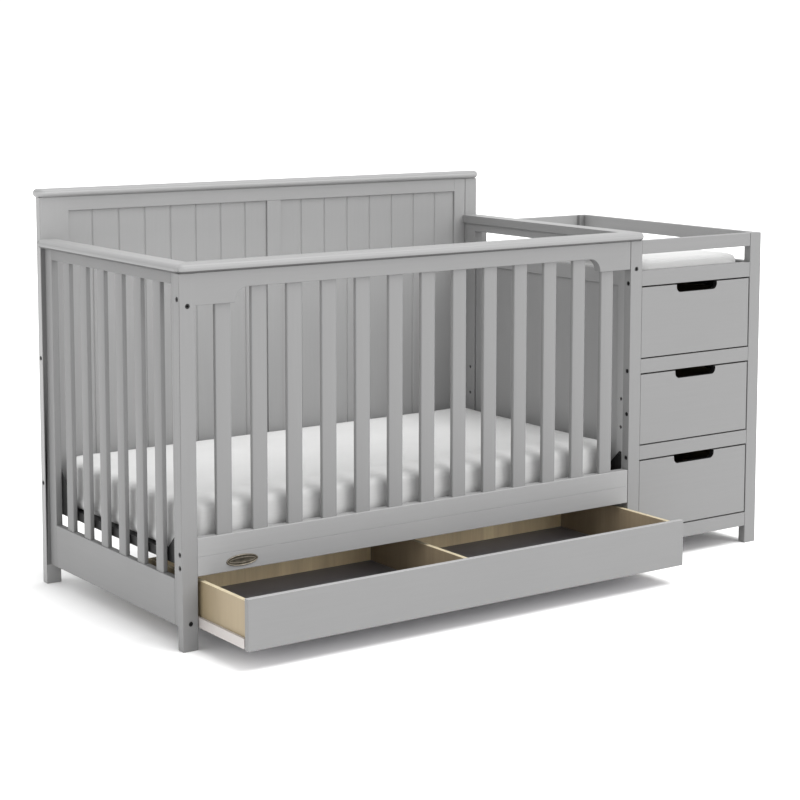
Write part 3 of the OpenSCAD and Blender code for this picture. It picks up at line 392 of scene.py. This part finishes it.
def mesh_of(bm, name, materials=()):
    """The mesh of a finished bmesh."""
    mesh = bpy.data.meshes.new(name)
    bm.to_mesh(mesh)
    bm.free()
    for material in materials:
        mesh.materials.append(material)
    return mesh


def show(mesh):
    """A new object in the scene, with its mesh's name."""
    obj = bpy.data.objects.new(mesh.name, mesh)
    scene.collection.objects.link(obj)
    return obj


def bake(obj):
    """Applies an object's modifiers to its mesh."""
    bpy.context.view_layer.update()
    graph = bpy.context.evaluated_depsgraph_get()
    mesh = bpy.data.meshes.new_from_object(obj.evaluated_get(graph), depsgraph=graph)
    mesh.name = obj.name
    obj.modifiers.clear()
    obj.data = mesh


def declare(obj, node):
    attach(obj, BODY_OF[node])
    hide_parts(node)


def smooth_by_angle(obj, degrees=SOFT_TURN):
    """Smooth shading, apart from edges that turn by more degrees."""
    for polygon in obj.data.polygons:
        polygon.use_smooth = True
    obj.data.set_sharp_from_angle(angle=math.radians(degrees))


def span(points):
    """The low and the high corner of the box around some points."""
    axes = list(zip(*points))
    return Vector([min(axis) for axis in axes]), Vector([max(axis) for axis in axes])


def solids(node):
    """The box (low, high) of each separate solid of a CAD node."""
    bm = merged(node)
    left = set(bm.verts)
    found = []
    while left:
        island = {left.pop()}
        unvisited = list(island)
        while unvisited:
            vert = unvisited.pop()
            neighbours = {edge.other_vert(vert) for edge in vert.link_edges} & left
            left -= neighbours
            island |= neighbours
            unvisited += neighbours
        found.append(span([v.co for v in island]))
    bm.free()
    return sorted(found, key=lambda pair: tuple(round(c, 4) for c in pair[0]))


def angles(sides):
    """The angle of each corner of a ring with that many sides."""
    return [2 * math.pi * k / sides for k in range(sides)]


def skin(bm, rings):
    """Joins each ring of points to the next, and closes the first and the last."""
    bm.faces.new(rings[0])
    for low, high in zip(rings, rings[1:]):
        for k in range(len(low)):
            after = (k + 1) % len(low)
            bm.faces.new((low[k], low[after], high[after], high[k]))
    bm.faces.new(rings[-1])
    bmesh.ops.recalc_face_normals(bm, faces=bm.faces)


# ---------- CAD pieces with eased edges ----------

def all_surfaces():
    """One tree of every CAD surface, and the node that each of its polygons belongs to."""
    points, polygons, owners = [], [], []
    for node, obj in frame["nodes"].items():
        start = len(points)
        points += [v.co[:] for v in obj.data.vertices]
        for polygon in obj.data.polygons:
            polygons.append([start + i for i in polygon.vertices])
            owners.append(node)
    return BVHTree.FromPolygons(points, polygons), owners


SURFACES, OWNERS = all_surfaces()


def meets_another(node, edge):
    """True where an edge runs along another piece for most of its length."""
    a, b = edge.verts[0].co, edge.verts[1].co
    found = 0
    for part in (0.2, 0.5, 0.8):
        near = SURFACES.find_nearest_range(a.lerp(b, part), TOUCH)
        found += any(OWNERS[hit[2]] != node for hit in near)
    return found >= 2


def at_x(edge, x):
    return all(abs(v.co.x - x) < NEAR for v in edge.verts)


def above(edge, z):
    return all(v.co.z > z - NEAR for v in edge.verts)


def eased(node, materials, width, seam=SEAM, cuts=(), closed=None, pick=None, trims=()):
    """A CAD piece with its edges rounded: free edges by width, edges against another piece by seam.

    cuts: heights that split long upright edges. closed: edges that it names get no line. pick:
    gives a face the number of its material. trims: (axis, place, by) moves the corners that lie at
    that place on that axis by that much."""
    bm = merged(node)
    for axis, at, by in trims:
        for vert in bm.verts:
            if abs(vert.co[axis] - at) < TRIM_REACH:
                vert.co[axis] += by
    for height in cuts:
        everything = bm.verts[:] + bm.edges[:] + bm.faces[:]
        bmesh.ops.bisect_plane(bm, geom=everything, plane_co=(0, 0, height), plane_no=(0, 0, 1),
                               dist=CUT_SNAP)
    weight = bm.edges.layers.float.new("bevel_weight_edge")
    for edge in bm.edges:
        turn = edge.calc_face_angle(0.0)
        edge.smooth = turn < math.radians(SOFT_TURN)
        if turn < math.radians(LINE_TURN) or (closed and closed(edge)):
            continue
        as_seam = edge.calc_length() < SHORT_EDGE or meets_another(node, edge)
        edge[weight] = seam / width if as_seam else 1.0
    for face in bm.faces:
        face.smooth = True
        if pick:
            face.material_index = pick(face)
    obj = show(mesh_of(bm, node + "_eased", materials))
    rounding = obj.modifiers.new("rounding", "BEVEL")
    rounding.limit_method = "WEIGHT"
    rounding.offset_type = "OFFSET"
    rounding.width = width
    rounding.segments = 3
    rounding.use_clamp_overlap = False
    rounding.harden_normals = True
    rounding.material = -1
    bake(obj)
    declare(obj, node)


def looks_up(face):
    return 1 if face.normal.z > FACING else 0


def looks_left(face):
    return 1 if face.normal.x < -FACING else 0


def cap_light_and_shade(face):
    """0 for a cap's top, 1 for its nose where that looks forwards or to the left, 2 for its underside, which
    each cap's materials give painted light and shade.
    """
    under, nose_top, nose_out = -0.45, 0.35, -0.3
    if face.normal.z < under:
        return 2
    return 1 if face.normal.z < nose_top and min(face.normal.x, face.normal.y) < nose_out else 0


# ---------- crib frame ----------

def crib_front():
    """The left post, rails, apron and cap. The left bracket runs into the post without a line, and the right
    ends leave a thin line at the changer. The bottom rail and apron carry painted light, and the cap painted
    light on its top and nose and painted shade underneath."""
    bracket_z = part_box("front_top_rail")[0].z
    eased("front_left_post", [PAINT["z"]], EASED_PAINT, cuts=[bracket_z],
          closed=lambda edge: at_x(edge, POST_X) and above(edge, bracket_z))
    eased("front_top_rail", [PAINT["x"]], EASED_PAINT, trims=JOINT_LINE,
          closed=lambda edge: at_x(edge, POST_X))
    for node in ("front_bottom_rail", "front_apron"):
        eased(node, [LOW_LIT_PAINT], EASED_PAINT, seam=WIDE_SEAM, trims=JOINT_LINE)
    eased("front_cap", [CAP_LIT_PAINT["x"], NOSE_LIT_PAINT["x"], UNDER_SHADED_PAINT["x"]], SEAM, pick=cap_light_and_shade)


def crib_end():
    """The left end. Its top rail and slats carry painted shade. Its cap's top carries painted light as strong
    as the front cap's nose, and its nose as strong as that cap's top, with painted shade underneath.
    """
    eased("end_stiles", [PAINT["z"]], EASED_PAINT)
    eased("end_top_rail", [END_SHADED_PAINT["y"]], EASED_PAINT)
    eased("end_bottom_rail", [PAINT["y"]], EASED_PAINT)
    eased("end_cap", [NOSE_LIT_PAINT["y"], CAP_LIT_PAINT["y"], UNDER_SHADED_PAINT["y"]], SEAM, pick=cap_light_and_shade)


def headboard():
    """The headboard, all in painted light that is stronger lower down, with more of it on its cap's nose. Its
    left post, stile and top rail run into each other without a line.
    """
    rail_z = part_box("headboard_top_rail")[0].z
    nook_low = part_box("end_bottom_rail")[0].z
    nook_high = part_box("end_cap")[0].z

    def nook(face):
        """1 for the strip of the left post that lies in the corner behind the crib's left end, which gets
        painted shade.
        """
        within = nook_low < face.calc_center_median().z < nook_high
        return 1 if face.normal.y < -FACING and within else 0

    eased("headboard_left_post", [BACK_LIT_PAINT["z"], NOOK_SHADED_PAINT], EASED_PAINT, cuts=[nook_low, nook_high],
          closed=lambda edge: at_x(edge, POST_X), pick=nook)
    eased("headboard_right_post", [BACK_LIT_PAINT["z"]], EASED_PAINT)
    eased("headboard_outer_stiles", [BACK_LIT_PAINT["z"]], EASED_PAINT, cuts=[rail_z], trims=JOINT_LINE,
          closed=lambda edge: at_x(edge, POST_X) or at_x(edge, STILE_X) and above(edge, rail_z))
    for node in ("headboard_centre_stile", "headboard_boards"):
        eased(node, [BACK_LIT_PAINT["z"]], EASED_PAINT)
    eased("headboard_top_rail", [BACK_LIT_PAINT["x"]], EASED_PAINT, closed=lambda edge: at_x(edge, STILE_X))
    eased("headboard_bottom_rail", [BACK_LIT_PAINT["x"]], EASED_PAINT)
    eased("headboard_cap", [CAP_LIT_PAINT["x"], BACK_NOSE_LIT_PAINT, BACK_LIT_PAINT["x"]], SEAM, pick=cap_light_and_shade)


# ---------- changer ----------

def changer_case():
    """The changer's posts, rails, cap, sides, back and tray. The back top rail, the right top rail's inner
    face and the left side's face towards the crib carry painted light, and the cap painted light on top and
    painted shade underneath.
    """
    for node in ("changer_front_left_post", "changer_front_right_post"):
        eased(node, [PAINT["z"]], EASED_POST)
    eased("changer_rear_posts", [PAINT["z"]], EASED_PAINT)
    eased("changer_front_top_rail", [PAINT["x"]], EASED_PAINT, trims=RAIL_LINE)
    eased("changer_back_top_rail", [BACK_LIT_PAINT["x"]], EASED_PAINT)
    eased("changer_tray_back_rail", [PAINT["x"]], EASED_PAINT)
    for node in ("changer_tray_front_rail", "changer_drawer_rails"):
        eased(node, [PAINT["x"]], EASED_FRONT, trims=RAIL_LINE)
    # painted light on the right top rail's inner face, which looks left
    eased("changer_right_top_rail", [PAINT["y"], BACK_LIT_PAINT["y"]], EASED_PAINT, pick=looks_left)
    eased("changer_left_cap", [CAP_LIT_PAINT["y"], CAP_LIT_PAINT["y"], UNDER_SHADED_PAINT["y"]], SEAM, pick=cap_light_and_shade)
    # painted light, stronger lower down, on the left side's face towards the crib
    eased("changer_left_side", [PAINT["z"], INNER_LIT_PAINT], EASED_PAINT, pick=looks_left)
    for node in ("changer_right_side", "changer_back_panel"):
        eased(node, [PAINT["z"]], EASED_PAINT)
    eased("tray_board", [PAINT["y"]], EASED_PAINT)


# ---------- drawers ----------

def box_boards(node, pick):
    """The bare boards of a drawer box in pale wood, with painted light on the faces that the pick gives the
    lighter woods.
    """
    eased(node, [BARE_WOOD, TOP_EDGE_LIT, BACK_LIT_WOOD, SIDE_LIT_WOOD], EASED_WOOD, pick=pick)


def wide_drawer():
    """The wide drawer. Its front's top edge carries painted light. Its boards carry painted light where they
    look up, where they look forwards, and where they look sideways inside it, apart from the left side's
    inner face."""
    low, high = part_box("crib_drawer_back")

    def board_lit_faces(face):
        """0 for outer faces; faces with painted light: 1 for top edges, 2 for faces that look forwards, 3 for
        those sideways.
        """
        if looks_up(face):
            return 1
        if face.normal.y < -FACING:
            return 2
        between = low.x + NEAR < face.calc_center_median().x < high.x + NEAR
        return 3 if between and abs(face.normal.x) > FACING else 0

    # painted light on the front's top edge, which looks up
    eased("crib_drawer_front", [PAINT["x"], BACK_NOSE_LIT_PAINT], EASED_DRAWER, pick=looks_up)
    for node in ("crib_drawer_sides", "crib_drawer_back", "crib_drawer_divider"):
        box_boards(node, board_lit_faces)
    eased("crib_drawer_bottom", [DARK_BOARD], SEAM)


def changer_drawer(name):
    """A changer drawer. Its front sits a little to the left in its opening, and the walls of its finger slot
    carry a near-black painted shade."""
    lo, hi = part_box(name + "_front")
    from_ends, from_top = 0.05, 0.03        # the slot is this far from the ends and within this of the top
    edge = 0.002                            # and its walls end this far below the top edge

    def shaded_slot_wall(face):
        middle = face.calc_center_median()
        inside = lo.x + from_ends < middle.x < hi.x - from_ends and hi.z - from_top < middle.z < hi.z - edge
        return 1 if inside and abs(face.normal.y) < 0.5 else 0

    gaps = ((X, lo.x, FRONT_LEFT), (X, hi.x, FRONT_RIGHT), (Z, hi.z, FRONT_TOP), (Z, lo.z, FRONT_BOTTOM))
    eased(name + "_front", [PAINT["x"], RECESS_SHADE], EASED_FRONT, pick=shaded_slot_wall, trims=gaps)
    box_boards(name + "_box", looks_up)
    eased(name + "_bottom", [DARK_BOARD], SEAM)


def slides():
    """The tracks in the frame and the runners on the drawers."""
    for node in ("crib_drawer_tracks", "changer_drawer_tracks", "crib_drawer_runners",
                 "top_drawer_runners", "middle_drawer_runners", "bottom_drawer_runners"):
        eased(node, [WHITE_STEEL], EASED_STEEL)


# ---------- repeated pieces, by geometry nodes ----------

def node_group(name, inputs):
    """A geometry node group with a geometry in and out, and the named inputs."""
    group = bpy.data.node_groups.new(name, "GeometryNodeTree")
    group.interface.new_socket(name="Geometry", in_out="INPUT", socket_type="NodeSocketGeometry")
    for label, kind in inputs.items():
        group.interface.new_socket(name=label, in_out="INPUT", socket_type=kind)
    group.interface.new_socket(name="Geometry", in_out="OUTPUT", socket_type="NodeSocketGeometry")
    return group, group.nodes.new("NodeGroupInput")


def finish_group(group, geometry):
    """Sends the geometry out of the group."""
    added(group, "NodeGroupOutput", {"Geometry": geometry})
    return group


def run_nodes(obj, group, values):
    """Puts the group on an object, sets its inputs by their identifiers and applies it."""
    modifier = obj.modifiers.new(group.name, "NODES")
    modifier.node_group = group
    for item in group.interface.items_tree:
        if item.item_type == "SOCKET" and item.in_out == "INPUT" and item.name in values:
            modifier[item.identifier] = values[item.name]
    bake(obj)


def slat_group():
    """Upright slats with rounded edges, one on each point, as high as the point's "high" says."""
    group, start = node_group("slat_row", {
        "Width X": "NodeSocketFloat", "Width Y": "NodeSocketFloat", "Rounding": "NodeSocketFloat",
        "Finish": "NodeSocketMaterial"})
    section = added(group, "GeometryNodeCurvePrimitiveQuadrilateral", {
        "Width": start.outputs["Width X"], "Height": start.outputs["Width Y"]})
    fillet = added(group, "GeometryNodeFilletCurve", {
        "Curve": section.outputs["Curve"], "Count": 4, "Radius": start.outputs["Rounding"]}, mode="POLY")
    flat = added(group, "GeometryNodeFillCurve", {"Curve": fillet.outputs["Curve"]}, mode="NGONS")
    solid = added(group, "GeometryNodeExtrudeMesh", {
        "Mesh": flat.outputs["Mesh"], "Offset": (0.0, 0.0, 1.0), "Offset Scale": 1.0, "Individual": False})
    foot = added(group, "GeometryNodeFlipFaces", {"Mesh": flat.outputs["Mesh"]})
    both = added(group, "GeometryNodeJoinGeometry", {"Geometry": foot.outputs["Mesh"]})
    group.links.new(solid.outputs["Mesh"], both.inputs["Geometry"])
    welded = added(group, "GeometryNodeMergeByDistance", {
        "Geometry": both.outputs["Geometry"], "Distance": WELD})
    high = added(group, "GeometryNodeInputNamedAttribute", {"Name": "high"}, data_type="FLOAT")
    size = added(group, "ShaderNodeCombineXYZ", {"X": 1.0, "Y": 1.0, "Z": high.outputs["Attribute"]})
    row = added(group, "GeometryNodeInstanceOnPoints", {
        "Points": start.outputs["Geometry"], "Instance": welded.outputs["Geometry"],
        "Scale": size.outputs["Vector"]})
    real = added(group, "GeometryNodeRealizeInstances", {"Geometry": row.outputs["Instances"]})
    painted = added(group, "GeometryNodeSetMaterial", {
        "Geometry": real.outputs["Geometry"], "Material": start.outputs["Finish"]})
    return finish_group(group, painted.outputs["Geometry"])


def points_mesh(name, places, **values):
    """Loose points, each with the given named numbers or vectors."""
    mesh = bpy.data.meshes.new(name)
    mesh.from_pydata(places, [], [])
    for key, numbers in values.items():
        if isinstance(numbers[0], float):
            layer = mesh.attributes.new(key, "FLOAT", "POINT")
            layer.data.foreach_set("value", numbers)
        else:
            layer = mesh.attributes.new(key, "FLOAT_VECTOR", "POINT")
            layer.data.foreach_set("vector", [part for vector in numbers for part in vector])
    return mesh


def slats(node, group, finish):
    """A row of slats, each where the CAD has its own."""
    boxes = solids(node)
    places = [((lo.x + hi.x) / 2, (lo.y + hi.y) / 2, lo.z) for lo, hi in boxes]
    obj = show(points_mesh(node + "_row", places, high=[hi.z - lo.z for lo, hi in boxes]))
    lo, hi = boxes[0]
    run_nodes(obj, group, {"Width X": hi.x - lo.x, "Width Y": hi.y - lo.y, "Rounding": EASED_SLAT,
                           "Finish": finish})
    smooth_by_angle(obj)
    declare(obj, node)


def bolt_model():
    """One bolt that points along -Z: a rounded flat head with a hexagon socket whose faces carry a near-black
    painted shade, and its shank.
    """
    socket, head, shank = 0.0026, 0.0058, 0.0030        # radii
    socket_z, head_z, end_z = -0.0036, -0.0040, -0.0180     # down from the top of the head
    edge, slack = 0.0003, 0.0001
    hexagon = [(socket, socket_z), (socket, -edge), (socket + edge, 0.0)]
    circle = [(head - 0.0012, 0.0), (head - 0.0004, -edge), (head, -0.0011), (head, head_z),
              (shank, head_z), (shank, end_z)]
    bm = bmesh.new()
    rings = []
    for radius, z in hexagon + circle:
        ring = []
        for angle in angles(36):
            within = angle % (math.pi / 3) - math.pi / 6
            reach = radius / math.cos(within) if len(rings) < len(hexagon) else radius
            ring.append(bm.verts.new((reach * math.cos(angle), reach * math.sin(angle), z)))
        rings.append(ring)
    skin(bm, rings)
    # the socket's faces get the painted shade
    for face in bm.faces:
        middle = face.calc_center_median()
        in_socket = middle.xy.length < socket + slack and middle.z > socket_z - slack
        face.material_index = 1 if in_socket else 0
    return bpy.data.objects.new("bolt_model", mesh_of(bm, "bolt_model", [DEEP_BLACK, RECESS_SHADE]))


def bolt_group():
    """A copy of the given object on each point, turned to the point's "facing"."""
    group, start = node_group("bolt_set", {"Bolt": "NodeSocketObject"})
    model = added(group, "GeometryNodeObjectInfo", {"Object": start.outputs["Bolt"]})
    facing = added(group, "GeometryNodeInputNamedAttribute", {"Name": "facing"}, data_type="FLOAT_VECTOR")
    turn = added(group, "FunctionNodeAlignRotationToVector", {
        "Vector": facing.outputs["Attribute"]}, axis="Z")
    every = added(group, "GeometryNodeInstanceOnPoints", {
        "Points": start.outputs["Geometry"], "Instance": model.outputs["Geometry"],
        "Rotation": turn.outputs["Rotation"]})
    real = added(group, "GeometryNodeRealizeInstances", {"Geometry": every.outputs["Instances"]})
    return finish_group(group, real.outputs["Geometry"])


def bolts():
    """Every bolt where the CAD has it. A bolt's long side runs along its axis, and its head is the
    end that lies at an outer face, or, for the hangers' short bolts, inside the crib."""
    short = 0.025
    mattress_low, mattress_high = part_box("mattress")
    middle_x = (mattress_low.x + mattress_high.x) / 2
    places, facing = [], []
    for lo, hi in solids("frame_bolts"):
        centre = (lo + hi) / 2
        along = X if hi.x - lo.x > hi.y - lo.y else Y
        if along == Y:
            out = -1.0 if centre.y < 0 else 1.0
        elif hi.x - lo.x < short:
            out = 1.0 if centre.x < middle_x else -1.0
        else:
            out = -1.0
        head = centre.copy()
        head[along] = hi[along] if out > 0 else lo[along]
        places.append(head[:])
        facing.append((out, 0.0, 0.0) if along == X else (0.0, out, 0.0))
    model = bolt_model()
    obj = show(points_mesh("bolts", places, facing=facing))
    run_nodes(obj, bolt_group(), {"Bolt": model})
    smooth_by_angle(obj, 30)
    declare(obj, "frame_bolts")
    bpy.data.objects.remove(model)


def wire_group():
    """A round wire along each edge of the incoming mesh."""
    group, start = node_group("wire_mesh", {"Radius": "NodeSocketFloat", "Finish": "NodeSocketMaterial"})
    lines = added(group, "GeometryNodeMeshToCurve", {"Mesh": start.outputs["Geometry"]})
    section = added(group, "GeometryNodeCurvePrimitiveCircle", {
        "Resolution": 10, "Radius": start.outputs["Radius"]})
    wires = added(group, "GeometryNodeCurveToMesh", {
        "Curve": lines.outputs["Curve"], "Profile Curve": section.outputs["Curve"], "Fill Caps": True})
    coated = added(group, "GeometryNodeSetMaterial", {
        "Geometry": wires.outputs["Mesh"], "Material": start.outputs["Finish"]})
    return finish_group(group, coated.outputs["Geometry"])


def support():
    """The mattress support: angle frame, hangers and its wires."""
    eased("support_frame", [BLACK_STEEL], EASED_STEEL)
    # the hangers in the darker black steel, partly painted shade
    eased("support_hangers", [DEEP_BLACK], EASED_STEEL)
    radius = 0.0018
    lengthways, crossways = 6, 12       # how many wires run each way
    lo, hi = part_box("support_wires")
    height = (lo.z + hi.z) / 2
    points = []
    for k in range(1, lengthways + 1):
        y = lo.y + (hi.y - lo.y) * k / (lengthways + 1)
        points += [(lo.x, y, height), (hi.x, y, height)]
    for k in range(1, crossways + 1):
        x = lo.x + (hi.x - lo.x) * k / (crossways + 1)
        points += [(x, lo.y, height), (x, hi.y, height)]
    mesh = bpy.data.meshes.new("support_wires_round")
    mesh.from_pydata(points, [(k, k + 1) for k in range(0, len(points), 2)], [])
    obj = show(mesh)
    run_nodes(obj, wire_group(), {"Radius": radius, "Finish": BLACK_STEEL})
    smooth_by_angle(obj, 50)
    declare(obj, "support_wires")


# ---------- oval plate ----------

def oval_plate():
    """A plain oval plate with a raised, rounded rim. Its face carries nothing."""
    lo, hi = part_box("oval_badge")
    centre, half = (lo + hi) / 2, (hi - lo) / 2
    thick = hi.y - lo.y
    rubbed = 0.64       # from this share of the thickness up, the bronze is rubbed
    # How far each ring lies in from the edge, and how high as a share of the thickness
    profile = [(0.0, 0.0), (0.0, 0.35), (0.0004, 0.65), (0.0010, 0.92), (0.0018, 1.0), (0.0026, 0.92),
               (0.0032, 0.65), (0.0038, 0.56), (0.0060, 0.54), (0.0072, 0.62), (0.0082, 0.70),
               (0.0092, 0.62), (0.0104, 0.56)]
    bm = bmesh.new()

    def ring(inset, rise):
        return [bm.verts.new((centre.x + (half.x - inset) * math.cos(angle), hi.y - thick * rise,
                              centre.z + (half.z - inset) * math.sin(angle))) for angle in angles(72)]

    skin(bm, [ring(inset, rise) for inset, rise in profile])
    for face in bm.faces:
        face.material_index = 1 if face.calc_center_median().y < hi.y - thick * rubbed else 0
    obj = show(mesh_of(bm, "oval_plate", [BRONZE, RUBBED_BRONZE]))
    smooth_by_angle(obj, 40)
    declare(obj, "oval_badge")


# ---------- mattress and pad ----------

def square_foot(mesh, lo, hi, soft, corner):
    """Makes the lower edge of a cushion nearly square, so that it sits flat on what is under it.

    soft: radius of the soft edge. corner: radius of the corners, seen from above."""
    squareness = 6      # 2 would leave the edge round
    at_edge = 0.9       # only points from this share of the edge's round outwards move
    middle = (lo + hi) / 2
    core = Vector((hi.x - middle.x - corner, hi.y - middle.y - corner))
    for v in mesh.vertices:
        beyond = Vector((abs(v.co.x - middle.x) - core.x, abs(v.co.y - middle.y) - core.y))
        if beyond.x > 0 and beyond.y > 0:
            reach = beyond.length
            outward = beyond.normalized()
        else:
            reach = max(beyond)
            outward = Vector((1.0, 0.0)) if beyond.x > beyond.y else Vector((0.0, 1.0))
        across = min(max((soft - corner + reach) / soft, 0.0), 1.0)
        down = min(max((soft - v.co.z + lo.z) / soft, 0.0), 1.0)
        if across <= 0.0 or down <= 0.0:
            continue
        grow = (across ** squareness + down ** squareness) ** (-1 / squareness)
        if grow > 1.0 and across * across + down * down > at_edge:
            push = across * (grow - 1.0) * soft
            v.co.x += math.copysign(outward.x * push, v.co.x - middle.x)
            v.co.y += math.copysign(outward.y * push, v.co.y - middle.y)
            v.co.z -= down * (grow - 1.0) * soft


def remeshed(node, voxel, shrink, soft, corner):
    """The cushion's CAD form, smaller by shrink at each side, as an even mesh, and the form's box."""
    bm = merged(node)
    bmesh.ops.triangulate(bm, faces=bm.faces)
    mesh = mesh_of(bm, node + "_plump")
    lo, hi = span([v.co for v in mesh.vertices])
    middle = (lo + hi) / 2
    square_foot(mesh, lo, hi, soft, corner)
    for v in mesh.vertices:
        for k in (X, Y):
            v.co[k] = middle[k] + (v.co[k] - middle[k]) * (1 - 2 * shrink / (hi[k] - lo[k]))
    obj = show(mesh)
    remesh = obj.modifiers.new("remesh", "REMESH")
    remesh.mode = "VOXEL"
    remesh.voxel_size = voxel
    relax = obj.modifiers.new("relax", "SMOOTH")
    relax.factor = 0.5
    relax.iterations = 3
    bake(obj)
    return obj, lo, hi


def swell(obj, most):
    """Lets a closed cushion swell a little under its own pressure. Its foot is held, and no point
    ends up further than most from where it started."""
    frames, stiffness, held_share = 20, 25.0, 0.25
    start = [v.co.copy() for v in obj.data.vertices]
    low, high = min(co.z for co in start), max(co.z for co in start)
    foot = low + held_share * (high - low)
    held = obj.vertex_groups.new(name="held")
    held.add([k for k, co in enumerate(start) if co.z < foot], 1.0, "REPLACE")
    cloth = obj.modifiers.new("cloth", "CLOTH")
    cloth.collision_settings.use_collision = False
    cloth.point_cache.frame_start = 1
    cloth.point_cache.frame_end = frames
    settings = cloth.settings
    settings.vertex_group_mass = "held"
    settings.quality = 5
    settings.mass = 0.3
    settings.use_pressure = True
    settings.uniform_pressure_force = 4.0
    settings.tension_stiffness = stiffness
    settings.compression_stiffness = stiffness
    settings.shear_stiffness = stiffness / 2
    settings.bending_stiffness = 1.5
    settings.effector_weights.gravity = 0.0
    scene.frame_start, scene.frame_end = 1, frames
    for number in range(1, frames + 1):
        scene.frame_set(number)
    bake(obj)
    for v, was in zip(obj.data.vertices, start):
        move = v.co - was
        if move.length > most:
            v.co = was + move.normalized() * most
    scene.frame_set(1)


def cushion(node, voxel, shrink, soft, corner, most):
    """A padded piece that swells out of its CAD form, and stays inside the form's box."""
    obj, lo, hi = remeshed(node, voxel, shrink, soft, corner)
    swell(obj, most)
    finer = obj.modifiers.new("finer", "SUBSURF")
    finer.levels = 1
    bake(obj)
    for v in obj.data.vertices:
        for k in (X, Y, Z):
            v.co[k] = min(max(v.co[k], lo[k]), hi[k])
    for polygon in obj.data.polygons:
        polygon.use_smooth = True
    obj.data.materials.clear()
    obj.data.materials.append(LINEN)
    declare(obj, node)


# ---------- studio ----------

def floor():
    """A pale floor that runs out of sight."""
    reach = 30.0
    mesh = bpy.data.meshes.new("studio_floor")
    mesh.from_pydata([(-reach, -reach, 0.0), (reach, -reach, 0.0), (reach, reach, 0.0), (-reach, reach, 0.0)],
                     [], [(0, 1, 2, 3)])
    floor_white = new_material("studio_white", tone(WHITE, FLOOR_TONE), {
        "Roughness": 0.9, "Specular IOR Level": 0.0})[0]
    mesh.materials.append(floor_white)
    show(mesh)


def sun(name, azimuth, elevation, strength, softness):
    """A soft sun. Azimuth 0 shines from the front, +90 from the right."""
    data = bpy.data.lights.new(name, "SUN")
    data.energy = strength
    data.angle = math.radians(softness)
    obj = bpy.data.objects.new(name, data)
    a, e = math.radians(azimuth), math.radians(elevation)
    source = Vector((math.sin(a) * math.cos(e), -math.cos(a) * math.cos(e), math.sin(e)))
    obj.rotation_euler = source.to_track_quat("Z", "Y").to_euler()
    scene.collection.objects.link(obj)


def lights():
    """Soft light from all sides and three soft suns, with the colours left as they are."""
    world = bpy.data.worlds.new("studio")
    scene.world = world
    world.use_nodes = True
    background = world.node_tree.nodes["Background"]
    background.inputs["Color"].default_value = (*WHITE, 1.0)
    background.inputs["Strength"].default_value = SKY
    for name, values in SUNS.items():
        sun(name, *values)
    scene.view_settings.view_transform = "Standard"
    scene.view_settings.look = "None"


def camera():
    """The camera at the photograph's viewing angle."""
    data = bpy.data.cameras.new("camera")
    data.sensor_width = 36.0
    data.lens = CAMERA_LENS
    data.shift_x, data.shift_y = CAMERA_SHIFT
    data.clip_end = 100.0
    obj = bpy.data.objects.new("camera", data)
    obj.location = CAMERA_PLACE
    obj.rotation_euler = (math.radians(90 - CAMERA_DOWN), 0.0, math.radians(-CAMERA_RIGHT))
    scene.collection.objects.link(obj)
    scene.camera = obj


crib_front()
crib_end()
headboard()
slat_row = slat_group()
slats("front_slats", slat_row, PAINT["z"])
# the left end's slats in painted shade
slats("end_slats", slat_row, END_SHADED_PAINT["z"])
changer_case()
wide_drawer()
for drawer in ("top_drawer", "middle_drawer", "bottom_drawer"):
    changer_drawer(drawer)
slides()
support()
bolts()
oval_plate()
cushion("mattress", voxel=0.010, shrink=0.002, soft=0.022, corner=0.048, most=0.006)
cushion("changing_pad", voxel=0.005, shrink=0.0015, soft=0.009, corner=0.034, most=0.005)
floor()
lights()
camera()
